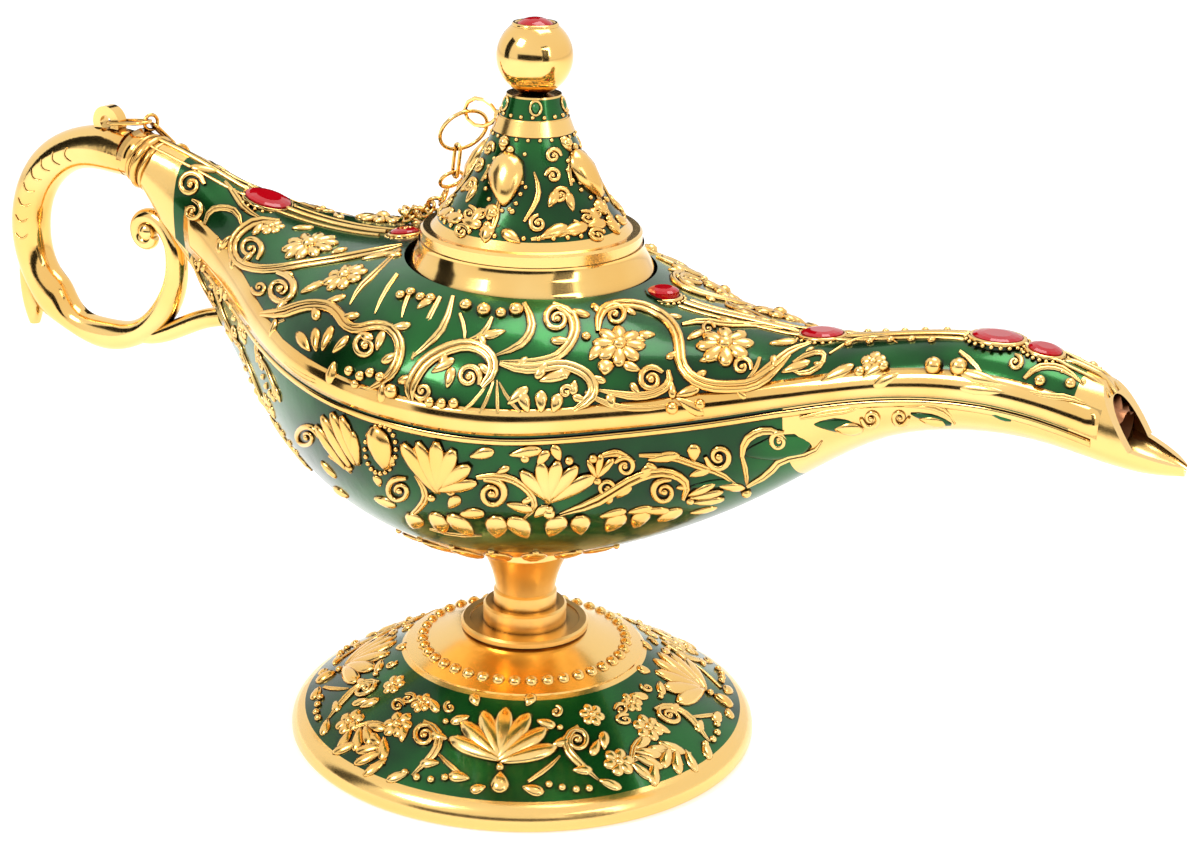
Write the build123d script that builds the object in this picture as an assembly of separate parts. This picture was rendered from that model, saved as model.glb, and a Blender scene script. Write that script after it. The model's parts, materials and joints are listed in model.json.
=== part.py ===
from build123d import *
import math
import os

# Genie oil lamp: a footed lamp body of two shells, with a lid on a chain and a loop handle.
# Millimetres, +Z up, the spout along +X. The origin is the middle of the foot, on the table.

# Common allowances
OVERRUN = 2.0
FIT = 0.05
SEAT_GAP = 0.25
SEAM_GAP = 0.04

# Foot
FOOT_RADIUS = 39.0
FOOT_ROLL = 0.9
FOOT_EDGE = 1.4
FOOT_RIM_HEIGHT = 4.3
FOOT_RIM_WIDTH = 1.9
FOOT_DISC_RADIUS = 19.9
FOOT_DISC_HEIGHT = 14.5
FOOT_DISC_STEP = 0.35
FOOT_CROWN_RADIUS = 10.65
FOOT_CROWN_HEIGHT = 18.2
FOOT_DIP = 0.15
FOOT_WALL = 2.0
FOOT_LIP = 2.9
FOOT_CROWN_WALL = 2.7

# Stem
STEM_RING_LENGTH = 1.4
STEM_RIM_WIDTH = 1.5
STEM_DISH = 0.25
STEM_STEP_RADIUS = 6.95
STEM_STEP_LENGTH = 2.9
STEM_TOP_RADIUS = 5.25
STEM_TOP_LENGTH = 2.6
STEM_EDGE = 0.35
NECK_RADIUS = 4.9
NECK_FLARE_RADIUS = 7.4
NECK_WAIST_SHARE = 0.33
NECK_LENGTH = 7.2
BOLT_RADIUS = 2.45
BOLT_HEAD_RADIUS = 4.4
BOLT_HEAD_LENGTH = 2.6
NUT_RADIUS = 4.6
NUT_LENGTH = 3.6
WASHER_RADIUS = 6.0
WASHER_LENGTH = 0.8

# Body, measured from the foot's axis
SPOUT_REACH = 108.2
TAIL_REACH = 82.0
BODY_HALF_WIDTH = 35.5
SEAM_HEIGHT = 64.2
COVER_RISE = 20.0
SEAM_RISE = 18.0
BOWL_DEPTH = 30.6
BODY_WALL = 1.5
RIM_OVERHANG = 0.5
BOSS_RADIUS = 7.4
BOSS_LENGTH = 4.4

# Each row is one station of the body: how far along, half width, ridge, seam, keel, and how far the
# cover tucks in under its widest line, in degrees. Behind the axis the first value is negative.
BODY_SHARES = (
    (-1.0, 0.120, 1.38, 1.08, 0.03, 52),
    (-0.945, 0.121, 1.32, 0.99, 0.03, 50),
    (-0.90, 0.124, 1.28, 0.78, 0.05, 36),
    (-0.80, 0.163, 1.16, 0.515, 0.20, 14),
    (-0.68, 0.290, 0.995, 0.345, 0.50, 0),
    (-0.53, 0.525, 0.875, 0.210, 0.77, 0),
    (-0.36, 0.790, 0.86, 0.122, 0.945, 0),
    (-0.17, 0.972, 0.955, 0.045, 1.022, 0),
    (0.02, 1.0, 0.99, 0.0, 1.01, 0),
    (0.148, 0.890, 0.89, 0.0, 0.888, 0),
    (0.259, 0.662, 0.75, 0.055, 0.755, 0),
    (0.37, 0.459, 0.715, 0.167, 0.597, 0),
    (0.48, 0.327, 0.71, 0.339, 0.421, 0),
    (0.59, 0.259, 0.825, 0.511, 0.27, 0),
    (0.70, 0.237, 0.925, 0.617, 0.215, 0),
    (0.81, 0.214, 0.895, 0.600, 0.182, 0),
    (0.905, 0.170, 0.75, 0.467, 0.150, 0),
    (0.96, 0.125, 0.60, 0.372, 0.105, 0),
    (1.0, 0.036, 0.465, 0.300, 0.050, 0),
)
COVER_POWER = 2.2
BOWL_POWER = 2.0
SECTION_STEPS = 8
TIP_BORE_SHARE = 0.58
TIP_SLOPE_SHARE = 0.45
BOWL_TAIL_SHARE = 0.915
CAVITY_FIRST_STATION = 4
UPRIGHT = (Align.CENTER, Align.CENTER, Align.MIN)

# Slanted mouth of the spout, from the top of the lip to its foot
MOUTH_TOP_SHARE = 0.885
MOUTH_TOP_HEIGHT = 80.0
MOUTH_FOOT_SHARE = 0.937
MOUTH_FOOT_HEIGHT = 71.6

# Collar
COLLAR_RADIUS = 20.1
COLLAR_FOOT_HEIGHT = 79.5
COLLAR_TOP_RADIUS = 17.9
COLLAR_TOP_HEIGHT = 85.1
COLLAR_EDGE = 0.7
SPIGOT_RADIUS = 18.5
SPIGOT_LENGTH = 3.4
SEAT_BORE = 15.2

# Lid
LID_FLANGE_RADIUS = 17.6
LID_FLANGE_LENGTH = 2.0
LID_GROOVE = 0.4
CONE_RADIUS = 16.0
CONE_WAIST_RADIUS = 10.3
CONE_WAIST_SHARE = 0.49
BAND_RADIUS = 6.24
BAND_TOP_RADIUS = 5.37
BAND_LENGTH = 2.2
BAND_STEP = 0.25
LID_NECK_RADIUS = 4.3
LID_TOP_HEIGHT = 108.5
LID_NECK_LENGTH = 5.7
BAND_HEIGHT = LID_TOP_HEIGHT - LID_NECK_LENGTH
LID_WALL = 1.6
SKIRT_LENGTH = 6.0
SKIRT_CLEARANCE = 0.2
STUD_RADIUS = 1.5
STUD_LENGTH = 9.0

# Finial
BALL_RADIUS = 6.0
BALL_RISE = 5.7
BALL_HEIGHT = LID_TOP_HEIGHT + BALL_RISE
FINIAL_GEM_RADIUS = 3.25
FINIAL_GEM_DEPTH = 2.0

# Handle: loop centre, loop radius and tube radii round the loop
LOOP_BACK = 89.6
LOOP_HEIGHT = 69.9
LOOP_RADIUS = 17.0
TAIL_TUBE_RADIUS = 4.35
LOOP_TUBE_RADIUS = 3.75
JOINT_BACK = 77.8
JOINT_HEIGHT = 86.2
JOINT_SLOPE = 22.0
TAIL_SPIGOT_RADIUS = 2.4
TAIL_SPIGOT_LENGTH = 8.0
SCROLL_BACK = 79.1
SCROLL_HEIGHT = 73.6
SCROLL_RADIUS = 2.7
SCROLL_EYE_RADIUS = 1.75
STRUT_RADIUS = 1.75
LEAF_RADIUS = 1.9
EAR_RADIUS = 2.9
EAR_THICKNESS = 2.2
EAR_BORE = 1.25
EAR_BACK = 86.9
EAR_HEIGHT = 92.1

# The handle's centre lines. The tail tube, strut and leaf are in shares of the loop's radius from its
# centre, with the tube's radius last; the loop and scroll are by angle, in degrees from the spout's side.
TAIL_TUBE_SHARES = ((0.300, 1.018, 1.093), (-0.165, 0.994, 1.0))
LOOP_SHARES = (
    (126, 0.965),
    (152, 0.940),
    (180, 0.925),
    (208, 0.910),
    (236, 0.820),
    (262, 0.720),
    (288, 0.650),
    (314, 0.610),
    (340, 0.585),
)
SCROLL_SHARES = (
    (-44, 3.200, 0.540),
    (-17, 2.260, 0.490),
    (19, 1.500, 0.440),
    (73, 1.080, 0.400),
    (128, 0.930, 0.370),
    (180, 0.900, 0.350),
    (232, 0.900, 0.330),
    (284, 0.760, 0.300),
    (330, 0.560, 0.260),
)
STRUT_SHARES = (
    (0.400, -0.940, 0.70),
    (0.720, -0.880, 0.90),
    (1.035, -0.735, 1.0),
    (1.329, -0.600, 1.0),
    (1.594, -0.529, 1.0),
)
LEAF_SHARES = ((-1.000, -0.130, 1.0), (-1.055, -0.500, 1.0), (-1.025, -0.850, 0.95), (-1.020, -1.060, 0.50))

# Stones, as length along the ridge, width across it and place from the axis
STONE_RISE = 1.0
STONE_DEPTH = 1.0
STONE_SIDES = 12
STONE_CROWN_SLOPE = 55.0
BEZEL_WIDTH = 0.6
BEZEL_RISE = 0.25
TAIL_STONE = (8.2, 6.8, -52.5)
REAR_RIDGE_STONE = (4.6, 4.6, -24.4)
FRONT_RIDGE_STONE = (4.8, 4.8, 24.2)
SPOUT_STONE_SHARES = (0.475, 0.730, 0.797)
SPOUT_ROOT_STONE = (6.4, 5.8, SPOUT_STONE_SHARES[0] * SPOUT_REACH)
SPOUT_OVAL_STONE = (7.4, 6.2, SPOUT_STONE_SHARES[1] * SPOUT_REACH)
SPOUT_TIP_STONE = (4.8, 4.8, SPOUT_STONE_SHARES[2] * SPOUT_REACH)

# Chain
WIRE_RADIUS = 0.33
WIRE_SIDES = 6
RING_SIDES = 12
LINK_END_STEPS = 4
LINK_RADIUS = 1.45
LINK_SIDES = 8
LINK_WIRE_SIDES = 4
LINK_PITCH = 2.2
LINK_GAP = 0.3
CHAIN_RIDE = 1.7
HOOK_LENGTH = 5.6
HOOK_WIDTH = 1.9
HOOK_LEAN = 12.0
EYE_REACH = 12.9
EYE_WIDTH = 4.4
EYE_RISE = 1.2
EYE_HEIGHT = BAND_HEIGHT + EYE_RISE
EYE_PLUG_RADIUS = 0.9
EYE_SHARES = (
    (0.0, 0.16),
    (0.16, 0.62),
    (0.40, 0.95),
    (0.68, 0.98),
    (0.90, 0.62),
    (1.0, 0.0),
    (0.90, -0.62),
    (0.68, -0.98),
    (0.40, -0.95),
    (0.16, -0.62),
    (0.0, -0.16),
)
LID_RING_RADIUS = 4.1
LID_RING_TURN = 60.0
LID_RING_LEAN = 30.0
CHAIN_RING_RADIUS = 2.0
CHAIN_RING_LEAN = 40.0
LUG_LINK_LENGTH = 8.6
LUG_LINK_RISE = 7.0
LUG_RING_RADIUS = 1.3
LUG_PULL_TURN = 72.0
LUG_PULL_DROP = 45.0

# The chain hangs behind the body from the tail to the rim, as shares of tail reach, half width and
# seam height, then climbs the shoulder to the lid, where its height follows the cover.
CHAIN_HANG_SHARES = (
    (-0.930, 0.216, 1.325),
    (-0.908, 0.245, 1.255),
    (-0.872, 0.265, 1.165),
    (-0.818, 0.308, 1.070),
    (-0.740, 0.375, 0.990),
    (-0.655, 0.475, 0.950),
    (-0.570, 0.580, 0.950),
    (-0.490, 0.680, 0.990),
    (-0.430, 0.765, 1.055),
)
CHAIN_SHOULDER_SHARES = ((-0.385, 0.640), (-0.388, 0.480), (-0.375, 0.310), (-0.350, 0.180))
CHAIN_RISE_SHARES = (-0.285, 0.135, 1.325)


def signed_power(value, power):
    """A power that keeps the sign of its base."""
    return math.copysign(abs(value) ** power, value)


def station_sizes(row):
    """Place, half width, chord height, rise of the cover, depth of the bowl and tuck of a station."""
    along, width, ridge, seam, keel, tuck = row
    place = along * (SPOUT_REACH if along > 0 else TAIL_REACH)
    chord = SEAM_HEIGHT + seam * SEAM_RISE
    rise = SEAM_HEIGHT + ridge * COVER_RISE - chord
    return place, width * BODY_HALF_WIDTH, chord, rise, keel * BOWL_DEPTH, math.radians(tuck)


def arch_points(place, half_width, chord, rise, tuck, section_power):
    """Points over one half of a section, from one end of its chord to the other."""
    power = 2 / section_power
    drop = math.sin(tuck) ** power
    middle = chord + rise * drop / (1 + drop)
    height = chord + rise - middle
    turn = math.pi + 2 * tuck
    points = []
    for step in range(SECTION_STEPS + 1):
        angle = turn * step / SECTION_STEPS - tuck
        side = half_width * signed_power(math.cos(angle), power)
        points.append((place, side, middle + height * signed_power(math.sin(angle), power)))
    return points


def loft_halves(rows, arch):
    """A solid through half sections, each closed by its straight chord."""
    wires = []
    for row in rows:
        points = arch(row)
        wires.append(Wire([Spline(*points), Line(points[-1], points[0])]))
    return Solid.make_loft(wires)


def cover_arch(row):
    place, half_width, chord, rise, _, tuck = station_sizes(row)
    return arch_points(place, half_width, chord, rise, tuck, COVER_POWER)


def bowl_arch(row):
    place, half_width, chord, _, depth, tuck = station_sizes(row)
    narrowed = half_width * math.cos(tuck) ** (2 / COVER_POWER)
    inset = min(RIM_OVERHANG, narrowed * (1 - TIP_BORE_SHARE))
    return arch_points(place, narrowed - inset, chord - SEAM_GAP, -depth, 0, BOWL_POWER)


def cavity_wire(row):
    """The closed inner section: a wall inside both shells, thinner where the spout is thin."""
    place, half_width, chord, rise, depth, _ = station_sizes(row)
    side_wall = BODY_WALL + RIM_OVERHANG
    inner_width = max(half_width - side_wall, half_width * TIP_BORE_SHARE)
    inner_rise = max(rise - BODY_WALL, rise * TIP_BORE_SHARE)
    inner_depth = max(depth - BODY_WALL, depth * TIP_BORE_SHARE)
    upper = arch_points(place, inner_width, chord, inner_rise, 0, COVER_POWER)
    lower = arch_points(place, inner_width, chord, -inner_depth, 0, BOWL_POWER)
    return Wire([Spline(*upper), Spline(*reversed(lower))])


def body_cavity():
    """The hollow from the tail's root to past the tip."""
    wires = [cavity_wire(row) for row in BODY_SHARES[CAVITY_FIRST_STATION:]]
    tip = wires[-1].moved(Location((OVERRUN, 0, -OVERRUN * TIP_SLOPE_SHARE)))
    return Solid.make_loft([*wires, tip])


def lathe(*edges):
    """Turns a closed outline of radius and height about the vertical axis."""
    return revolve(Plane.XZ * make_face(Wire(edges)), Axis.Z)


def turned(points):
    """Turns a closed outline with straight sides."""
    return revolve(Plane.XZ * make_face(Polyline(*points, close=True)), Axis.Z)


def drill(radius, low, high):
    """A vertical cylinder on the lamp's axis."""
    return Location((0, 0, low)) * Cylinder(radius, high - low, align=UPRIGHT)


def side_prism(points, half_depth):
    """A prism across the lamp from an outline seen from the side."""
    return extrude(Plane.XZ * make_face(Polyline(*points, close=True)), half_depth, both=True)


def make_foot():
    """A dished casting: rolled rim, slightly hollow slope, stepped disc and a bored crown."""
    rim_top = (FOOT_RADIUS - FOOT_RIM_WIDTH, FOOT_RIM_HEIGHT)
    roll_foot = (FOOT_RADIUS - FOOT_ROLL, 0)
    roll_middle = (FOOT_RADIUS - FOOT_ROLL / 4, FOOT_EDGE / 3)
    edge = (FOOT_RADIUS, FOOT_EDGE)
    disc_edge = (FOOT_DISC_RADIUS, FOOT_DISC_HEIGHT)
    disc_top = (FOOT_DISC_RADIUS, FOOT_DISC_HEIGHT + FOOT_DISC_STEP)
    rim_middle = (FOOT_RADIUS - FOOT_RIM_WIDTH / 4, (FOOT_EDGE + FOOT_RIM_HEIGHT) / 2 + FOOT_RIM_WIDTH / 8)
    slope_middle = ((rim_top[0] + disc_edge[0]) / 2, (rim_top[1] + disc_edge[1]) / 2 - FOOT_DIP)
    bore = BOLT_RADIUS + FIT
    under = FOOT_CROWN_HEIGHT - FOOT_CROWN_WALL
    hollow_edge = (FOOT_RADIUS - FOOT_LIP, 0)
    hollow_rim = (FOOT_RADIUS - FOOT_LIP - FOOT_WALL / 2, FOOT_RIM_HEIGHT - FOOT_WALL)
    hollow_shoulder = (FOOT_DISC_RADIUS - FOOT_WALL / 2, FOOT_DISC_HEIGHT - FOOT_WALL)
    return lathe(
        Line(hollow_edge, roll_foot),
        ThreePointArc(roll_foot, roll_middle, edge),
        ThreePointArc(edge, rim_middle, rim_top),
        ThreePointArc(rim_top, slope_middle, disc_edge),
        Line(disc_edge, disc_top),
        Line(disc_top, (FOOT_CROWN_RADIUS, FOOT_CROWN_HEIGHT)),
        Line((FOOT_CROWN_RADIUS, FOOT_CROWN_HEIGHT), (bore, FOOT_CROWN_HEIGHT)),
        Line((bore, FOOT_CROWN_HEIGHT), (bore, under)),
        Line((bore, under), (WASHER_RADIUS + FOOT_WALL, under)),
        Line((WASHER_RADIUS + FOOT_WALL, under), hollow_shoulder),
        Line(hollow_shoulder, hollow_rim),
        Line(hollow_rim, hollow_edge),
    )


def make_stem_base():
    """A ring and two turned steps with broken edges."""
    bore = BOLT_RADIUS + FIT
    ring_top = FOOT_CROWN_HEIGHT + STEM_RING_LENGTH
    step_top = ring_top + STEM_STEP_LENGTH
    top = step_top + STEM_TOP_LENGTH
    return turned(
        (
            (bore, FOOT_CROWN_HEIGHT),
            (FOOT_CROWN_RADIUS - STEM_EDGE, FOOT_CROWN_HEIGHT),
            (FOOT_CROWN_RADIUS, FOOT_CROWN_HEIGHT + STEM_EDGE),
            (FOOT_CROWN_RADIUS, ring_top - STEM_EDGE),
            (FOOT_CROWN_RADIUS - STEM_EDGE, ring_top),
            (FOOT_CROWN_RADIUS - STEM_RIM_WIDTH, ring_top),
            (FOOT_CROWN_RADIUS - STEM_RIM_WIDTH, ring_top - STEM_DISH),
            (STEM_STEP_RADIUS, ring_top - STEM_DISH),
            (STEM_STEP_RADIUS, step_top - STEM_EDGE),
            (STEM_STEP_RADIUS - STEM_EDGE, step_top),
            (STEM_TOP_RADIUS, step_top),
            (STEM_TOP_RADIUS, top - STEM_EDGE),
            (STEM_TOP_RADIUS - STEM_EDGE, top),
            (bore, top),
        )
    )


def stem_base_top():
    return FOOT_CROWN_HEIGHT + STEM_RING_LENGTH + STEM_STEP_LENGTH + STEM_TOP_LENGTH


def neck_top():
    return stem_base_top() + NECK_LENGTH


def bowl_floor():
    """Top of the pad inside the bowl where the bolt's head sits."""
    return neck_top() + BOSS_LENGTH


def make_stem_neck():
    """The flared neck, with a hollow curve outside."""
    bore = BOLT_RADIUS + FIT
    low, high = stem_base_top(), neck_top()
    waist = (NECK_RADIUS + (NECK_FLARE_RADIUS - NECK_RADIUS) * NECK_WAIST_SHARE, (low + high) / 2)
    return lathe(
        Line((bore, low), (NECK_RADIUS, low)),
        ThreePointArc((NECK_RADIUS, low), waist, (NECK_FLARE_RADIUS, high)),
        Line((NECK_FLARE_RADIUS, high), (bore, high)),
        Line((bore, high), (bore, low)),
    )


def washer_top():
    return FOOT_CROWN_HEIGHT - FOOT_CROWN_WALL


def make_stem_bolt():
    """The long bolt: a round head in the bowl and a shank down to the nut."""
    floor = bowl_floor()
    end = washer_top() - WASHER_LENGTH - NUT_LENGTH - BOLT_RADIUS / 2
    head = drill(BOLT_HEAD_RADIUS, floor, floor + BOLT_HEAD_LENGTH)
    head = fillet(head.edges().group_by(Axis.Z)[-1], BOLT_HEAD_LENGTH / 2)
    return head + drill(BOLT_RADIUS, end, floor)


def make_foot_washer():
    top = washer_top()
    bore = BOLT_RADIUS + 2 * FIT
    return drill(WASHER_RADIUS, top - WASHER_LENGTH, top) - drill(bore, top - WASHER_LENGTH, top)


def make_foot_nut():
    top = washer_top() - WASHER_LENGTH
    hexagon = Location((0, 0, top - NUT_LENGTH)) * extrude(RegularPolygon(NUT_RADIUS, 6), NUT_LENGTH)
    return hexagon - drill(BOLT_RADIUS + FIT, top - NUT_LENGTH, top)


def joint_place():
    return Plane(
        origin=(-JOINT_BACK, 0, JOINT_HEIGHT),
        x_dir=(0, 1, 0),
        z_dir=(-math.cos(math.radians(JOINT_SLOPE)), 0, math.sin(math.radians(JOINT_SLOPE))),
    )


def tail_trim():
    """Everything beyond the slanted joint between tail and handle."""
    return joint_place() * Cylinder(TAIL_REACH / 4, TAIL_REACH / 4, align=UPRIGHT)


def mouth_trim():
    """Everything in front of the slanted mouth."""
    top = (SPOUT_REACH * MOUTH_TOP_SHARE, MOUTH_TOP_HEIGHT)
    foot = (SPOUT_REACH * MOUTH_FOOT_SHARE, MOUTH_FOOT_HEIGHT)
    run, fall = foot[0] - top[0], foot[1] - top[1]
    above = (top[0] - run, top[1] - fall)
    below = (foot[0] + run, foot[1] + fall)
    beyond = SPOUT_REACH + run + OVERRUN
    return side_prism((above, below, (beyond, below[1]), (beyond, above[1])), BODY_HALF_WIDTH)


def surface_height(solid, place, side):
    """Top of a solid above a point of the ground plan."""
    ray = Edge.make_line((place, side, 0), (place, side, 2 * LID_TOP_HEIGHT))
    return max(edge.bounding_box().max.Z for edge in (solid & ray).edges())


def stone_place(outer, stone):
    """A plane on the ridge, square to it, with its origin at the stone."""
    length, _, place = stone
    back = surface_height(outer, place - length / 2, 0)
    front = surface_height(outer, place + length / 2, 0)
    middle = surface_height(outer, place, 0)
    slope = Vector(length, 0, front - back).normalized()
    return Plane(origin=(place, 0, middle), x_dir=slope, z_dir=Vector(-slope.Z, 0, slope.X))


def many_sided(length, width, low, high):
    """A straight-sided block on a many-sided oval."""
    points = []
    for side in range(STONE_SIDES):
        angle = 2 * math.pi * side / STONE_SIDES
        points.append((length / 2 * math.cos(angle), width / 2 * math.sin(angle)))
    return Location((0, 0, low)) * extrude(make_face(Polyline(*points, close=True)), high - low)


def stone_bezel(stone):
    length, width, _ = stone
    return many_sided(length + 2 * BEZEL_WIDTH, width + 2 * BEZEL_WIDTH, -BODY_WALL, BEZEL_RISE)


def stone_pocket(stone):
    length, width, _ = stone
    return many_sided(length + 2 * FIT, width + 2 * FIT, -STONE_DEPTH, OVERRUN)


def make_stone(stone):
    """A flat-backed stone: a straight girdle and a faceted crown with a flat table."""
    length, width, _ = stone
    girdle = many_sided(length, width, -STONE_DEPTH, BEZEL_RISE)
    top = girdle.faces().sort_by(Axis.Z)[-1]
    return girdle + extrude(top, STONE_RISE - BEZEL_RISE, taper=STONE_CROWN_SLOPE)


def make_cover(outer, cavity, stones):
    """The upper shell: hollow, open at the collar and the mouth, with its settings and tail socket."""
    bezels = [place * stone_bezel(stone) for place, stone in stones]
    pockets = [place * stone_pocket(stone) for place, stone in stones]
    seat = drill(COLLAR_RADIUS + FIT, COLLAR_FOOT_HEIGHT, COLLAR_TOP_HEIGHT + OVERRUN)
    opening = drill(SPIGOT_RADIUS + FIT, bowl_floor(), COLLAR_TOP_HEIGHT)
    socket = joint_place() * Location((0, 0, -TAIL_SPIGOT_LENGTH)) * Cylinder(
        TAIL_SPIGOT_RADIUS + FIT, TAIL_SPIGOT_LENGTH + OVERRUN, align=UPRIGHT
    )
    cover = outer - cavity
    cover = cover + bezels
    return cover - [seat, opening, mouth_trim(), tail_trim(), socket, *pockets]


def make_bowl(outer, cavity):
    """The lower shell with the boss that stands on the neck."""
    boss = drill(BOSS_RADIUS, neck_top(), bowl_floor())
    bore = drill(BOLT_RADIUS + FIT, neck_top() - OVERRUN, bowl_floor() + OVERRUN)
    tail = Location((-BOWL_TAIL_SHARE * TAIL_REACH, 0, SEAM_HEIGHT), (0, -90, 0))
    beyond = tail * Cylinder(BODY_HALF_WIDTH, TAIL_REACH, align=UPRIGHT)
    return (outer - cavity - beyond) + boss - bore


def make_collar():
    """The seat ring: a sloping outer band over a spigot that fills the cover's opening."""
    low, high = COLLAR_FOOT_HEIGHT, COLLAR_TOP_HEIGHT
    return turned(
        (
            (SEAT_BORE, low - SPIGOT_LENGTH),
            (SPIGOT_RADIUS, low - SPIGOT_LENGTH),
            (SPIGOT_RADIUS, low),
            (COLLAR_RADIUS, low),
            (COLLAR_RADIUS, low + COLLAR_EDGE),
            (COLLAR_TOP_RADIUS, high - COLLAR_EDGE),
            (COLLAR_TOP_RADIUS, high),
            (SEAT_BORE, high),
        )
    )


def make_lid():
    """A hollow cone with flange, skirt, band and neck, bored for the stud and the eye."""
    seat = COLLAR_TOP_HEIGHT + FIT
    flange_top = seat + LID_FLANGE_LENGTH
    skirt = SEAT_BORE - SKIRT_CLEARANCE
    band_top = BAND_HEIGHT + BAND_LENGTH
    cone_height = BAND_HEIGHT - flange_top
    waist = (CONE_WAIST_RADIUS, flange_top + CONE_WAIST_SHARE * cone_height)
    bore = STUD_RADIUS + FIT
    roof = BAND_HEIGHT - LID_WALL
    inner_waist = (CONE_WAIST_RADIUS - LID_WALL, waist[1] - LID_WALL / 2)
    inner_top = (BAND_RADIUS - LID_WALL, roof)
    inner_foot = (skirt - LID_WALL, flange_top - LID_WALL / 2)
    lid = lathe(
        Line((skirt - LID_WALL, seat - SKIRT_LENGTH), (skirt, seat - SKIRT_LENGTH)),
        Line((skirt, seat - SKIRT_LENGTH), (skirt, seat)),
        Line((skirt, seat), (LID_FLANGE_RADIUS, seat)),
        Line((LID_FLANGE_RADIUS, seat), (LID_FLANGE_RADIUS, flange_top - LID_GROOVE)),
        Line((LID_FLANGE_RADIUS, flange_top - LID_GROOVE), (LID_FLANGE_RADIUS - LID_GROOVE, flange_top)),
        Line((LID_FLANGE_RADIUS - LID_GROOVE, flange_top), (CONE_RADIUS, flange_top)),
        ThreePointArc((CONE_RADIUS, flange_top), waist, (BAND_RADIUS, BAND_HEIGHT)),
        Line((BAND_RADIUS, BAND_HEIGHT), (BAND_RADIUS + BAND_STEP, BAND_HEIGHT)),
        Line((BAND_RADIUS + BAND_STEP, BAND_HEIGHT), (BAND_TOP_RADIUS + BAND_STEP, band_top)),
        Line((BAND_TOP_RADIUS + BAND_STEP, band_top), (BAND_TOP_RADIUS, band_top)),
        Line((BAND_TOP_RADIUS, band_top), (LID_NECK_RADIUS, LID_TOP_HEIGHT)),
        Line((LID_NECK_RADIUS, LID_TOP_HEIGHT), (bore, LID_TOP_HEIGHT)),
        Line((bore, LID_TOP_HEIGHT), (bore, roof)),
        Line((bore, roof), inner_top),
        ThreePointArc(inner_top, inner_waist, inner_foot),
        Line(inner_foot, (skirt - LID_WALL, seat - SKIRT_LENGTH)),
    )
    return lid - eye_plug(FIT)


def make_finial_stud():
    low = LID_TOP_HEIGHT - STUD_LENGTH / 2
    return drill(STUD_RADIUS, low, low + STUD_LENGTH)


def finial_gem_floor():
    return BALL_HEIGHT + BALL_RADIUS - FINIAL_GEM_DEPTH


def make_finial_ball():
    """A ball with a flat seat, a blind bore for the stud and a pocket for the stone."""
    ball = Location((0, 0, BALL_HEIGHT)) * Sphere(BALL_RADIUS)
    seat = drill(BALL_RADIUS, LID_TOP_HEIGHT - BALL_RADIUS, LID_TOP_HEIGHT)
    stud_top = LID_TOP_HEIGHT + STUD_LENGTH / 2 + FIT
    bore = drill(STUD_RADIUS + FIT, LID_TOP_HEIGHT - OVERRUN, stud_top)
    pocket = drill(FINIAL_GEM_RADIUS + FIT, finial_gem_floor(), BALL_HEIGHT + 2 * BALL_RADIUS)
    return ball - [seat, bore, pocket]


def make_finial_gem():
    """A stone whose dome carries on the ball's own round."""
    dome = Location((0, 0, BALL_HEIGHT)) * Sphere(BALL_RADIUS + FIT)
    return dome & drill(FINIAL_GEM_RADIUS, finial_gem_floor(), BALL_HEIGHT + 2 * BALL_RADIUS)


def loop_point(degrees):
    """A point of the loop's centre line, counted from the spout's side over the top."""
    angle = math.radians(degrees)
    return (-LOOP_BACK + LOOP_RADIUS * math.cos(angle), LOOP_HEIGHT + LOOP_RADIUS * math.sin(angle))


def tube_through(stations):
    """A smooth tube through circles, each square to the line between its neighbours."""
    wires = []
    for index, (place, height, radius) in enumerate(stations):
        before = stations[max(index - 1, 0)]
        after = stations[min(index + 1, len(stations) - 1)]
        along = (after[0] - before[0], 0, after[1] - before[1])
        section = Plane(origin=(place, 0, height), x_dir=(0, 1, 0), z_dir=along)
        wires.append(Wire([(section * Edge.make_circle(radius))]))
    return Solid.make_loft(wires)


def make_handle(body):
    """One casting: tail tube, loop, scroll, strut, leaf rest and chain ear."""
    joint = (-JOINT_BACK, JOINT_HEIGHT, TAIL_TUBE_RADIUS)
    stations = [joint]
    for place_share, height_share, radius_share in TAIL_TUBE_SHARES:
        place = -LOOP_BACK + place_share * LOOP_RADIUS
        height = LOOP_HEIGHT + height_share * LOOP_RADIUS
        stations.append((place, height, radius_share * LOOP_TUBE_RADIUS))
    for degrees, radius_share in LOOP_SHARES:
        place, height = loop_point(degrees)
        stations.append((place, height, radius_share * LOOP_TUBE_RADIUS))
    for degrees, reach_share, radius_share in SCROLL_SHARES:
        angle = math.radians(degrees)
        reach = reach_share * SCROLL_RADIUS
        place = -SCROLL_BACK + reach * math.cos(angle)
        height = SCROLL_HEIGHT + reach * math.sin(angle)
        stations.append((place, height, radius_share * LOOP_TUBE_RADIUS))
    tube = tube_through(stations)
    eye = Location((-SCROLL_BACK, 0, SCROLL_HEIGHT)) * Sphere(SCROLL_EYE_RADIUS)
    ear_place = Location((-EAR_BACK, 0, EAR_HEIGHT), (90, 0, 0))
    ear = ear_place * Cylinder(EAR_RADIUS, EAR_THICKNESS)
    ear_hole = ear_place * Cylinder(EAR_BORE, EAR_THICKNESS + OVERRUN)
    spigot = joint_place() * Location((0, 0, -TAIL_SPIGOT_LENGTH)) * Cylinder(
        TAIL_SPIGOT_RADIUS, TAIL_SPIGOT_LENGTH + TAIL_TUBE_RADIUS, align=UPRIGHT
    )
    strut = side_tube(STRUT_SHARES, STRUT_RADIUS)
    leaf = side_tube(LEAF_SHARES, LEAF_RADIUS)
    handle = tube + [eye, strut, leaf, ear]
    return (handle - body) + spigot - ear_hole


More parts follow.
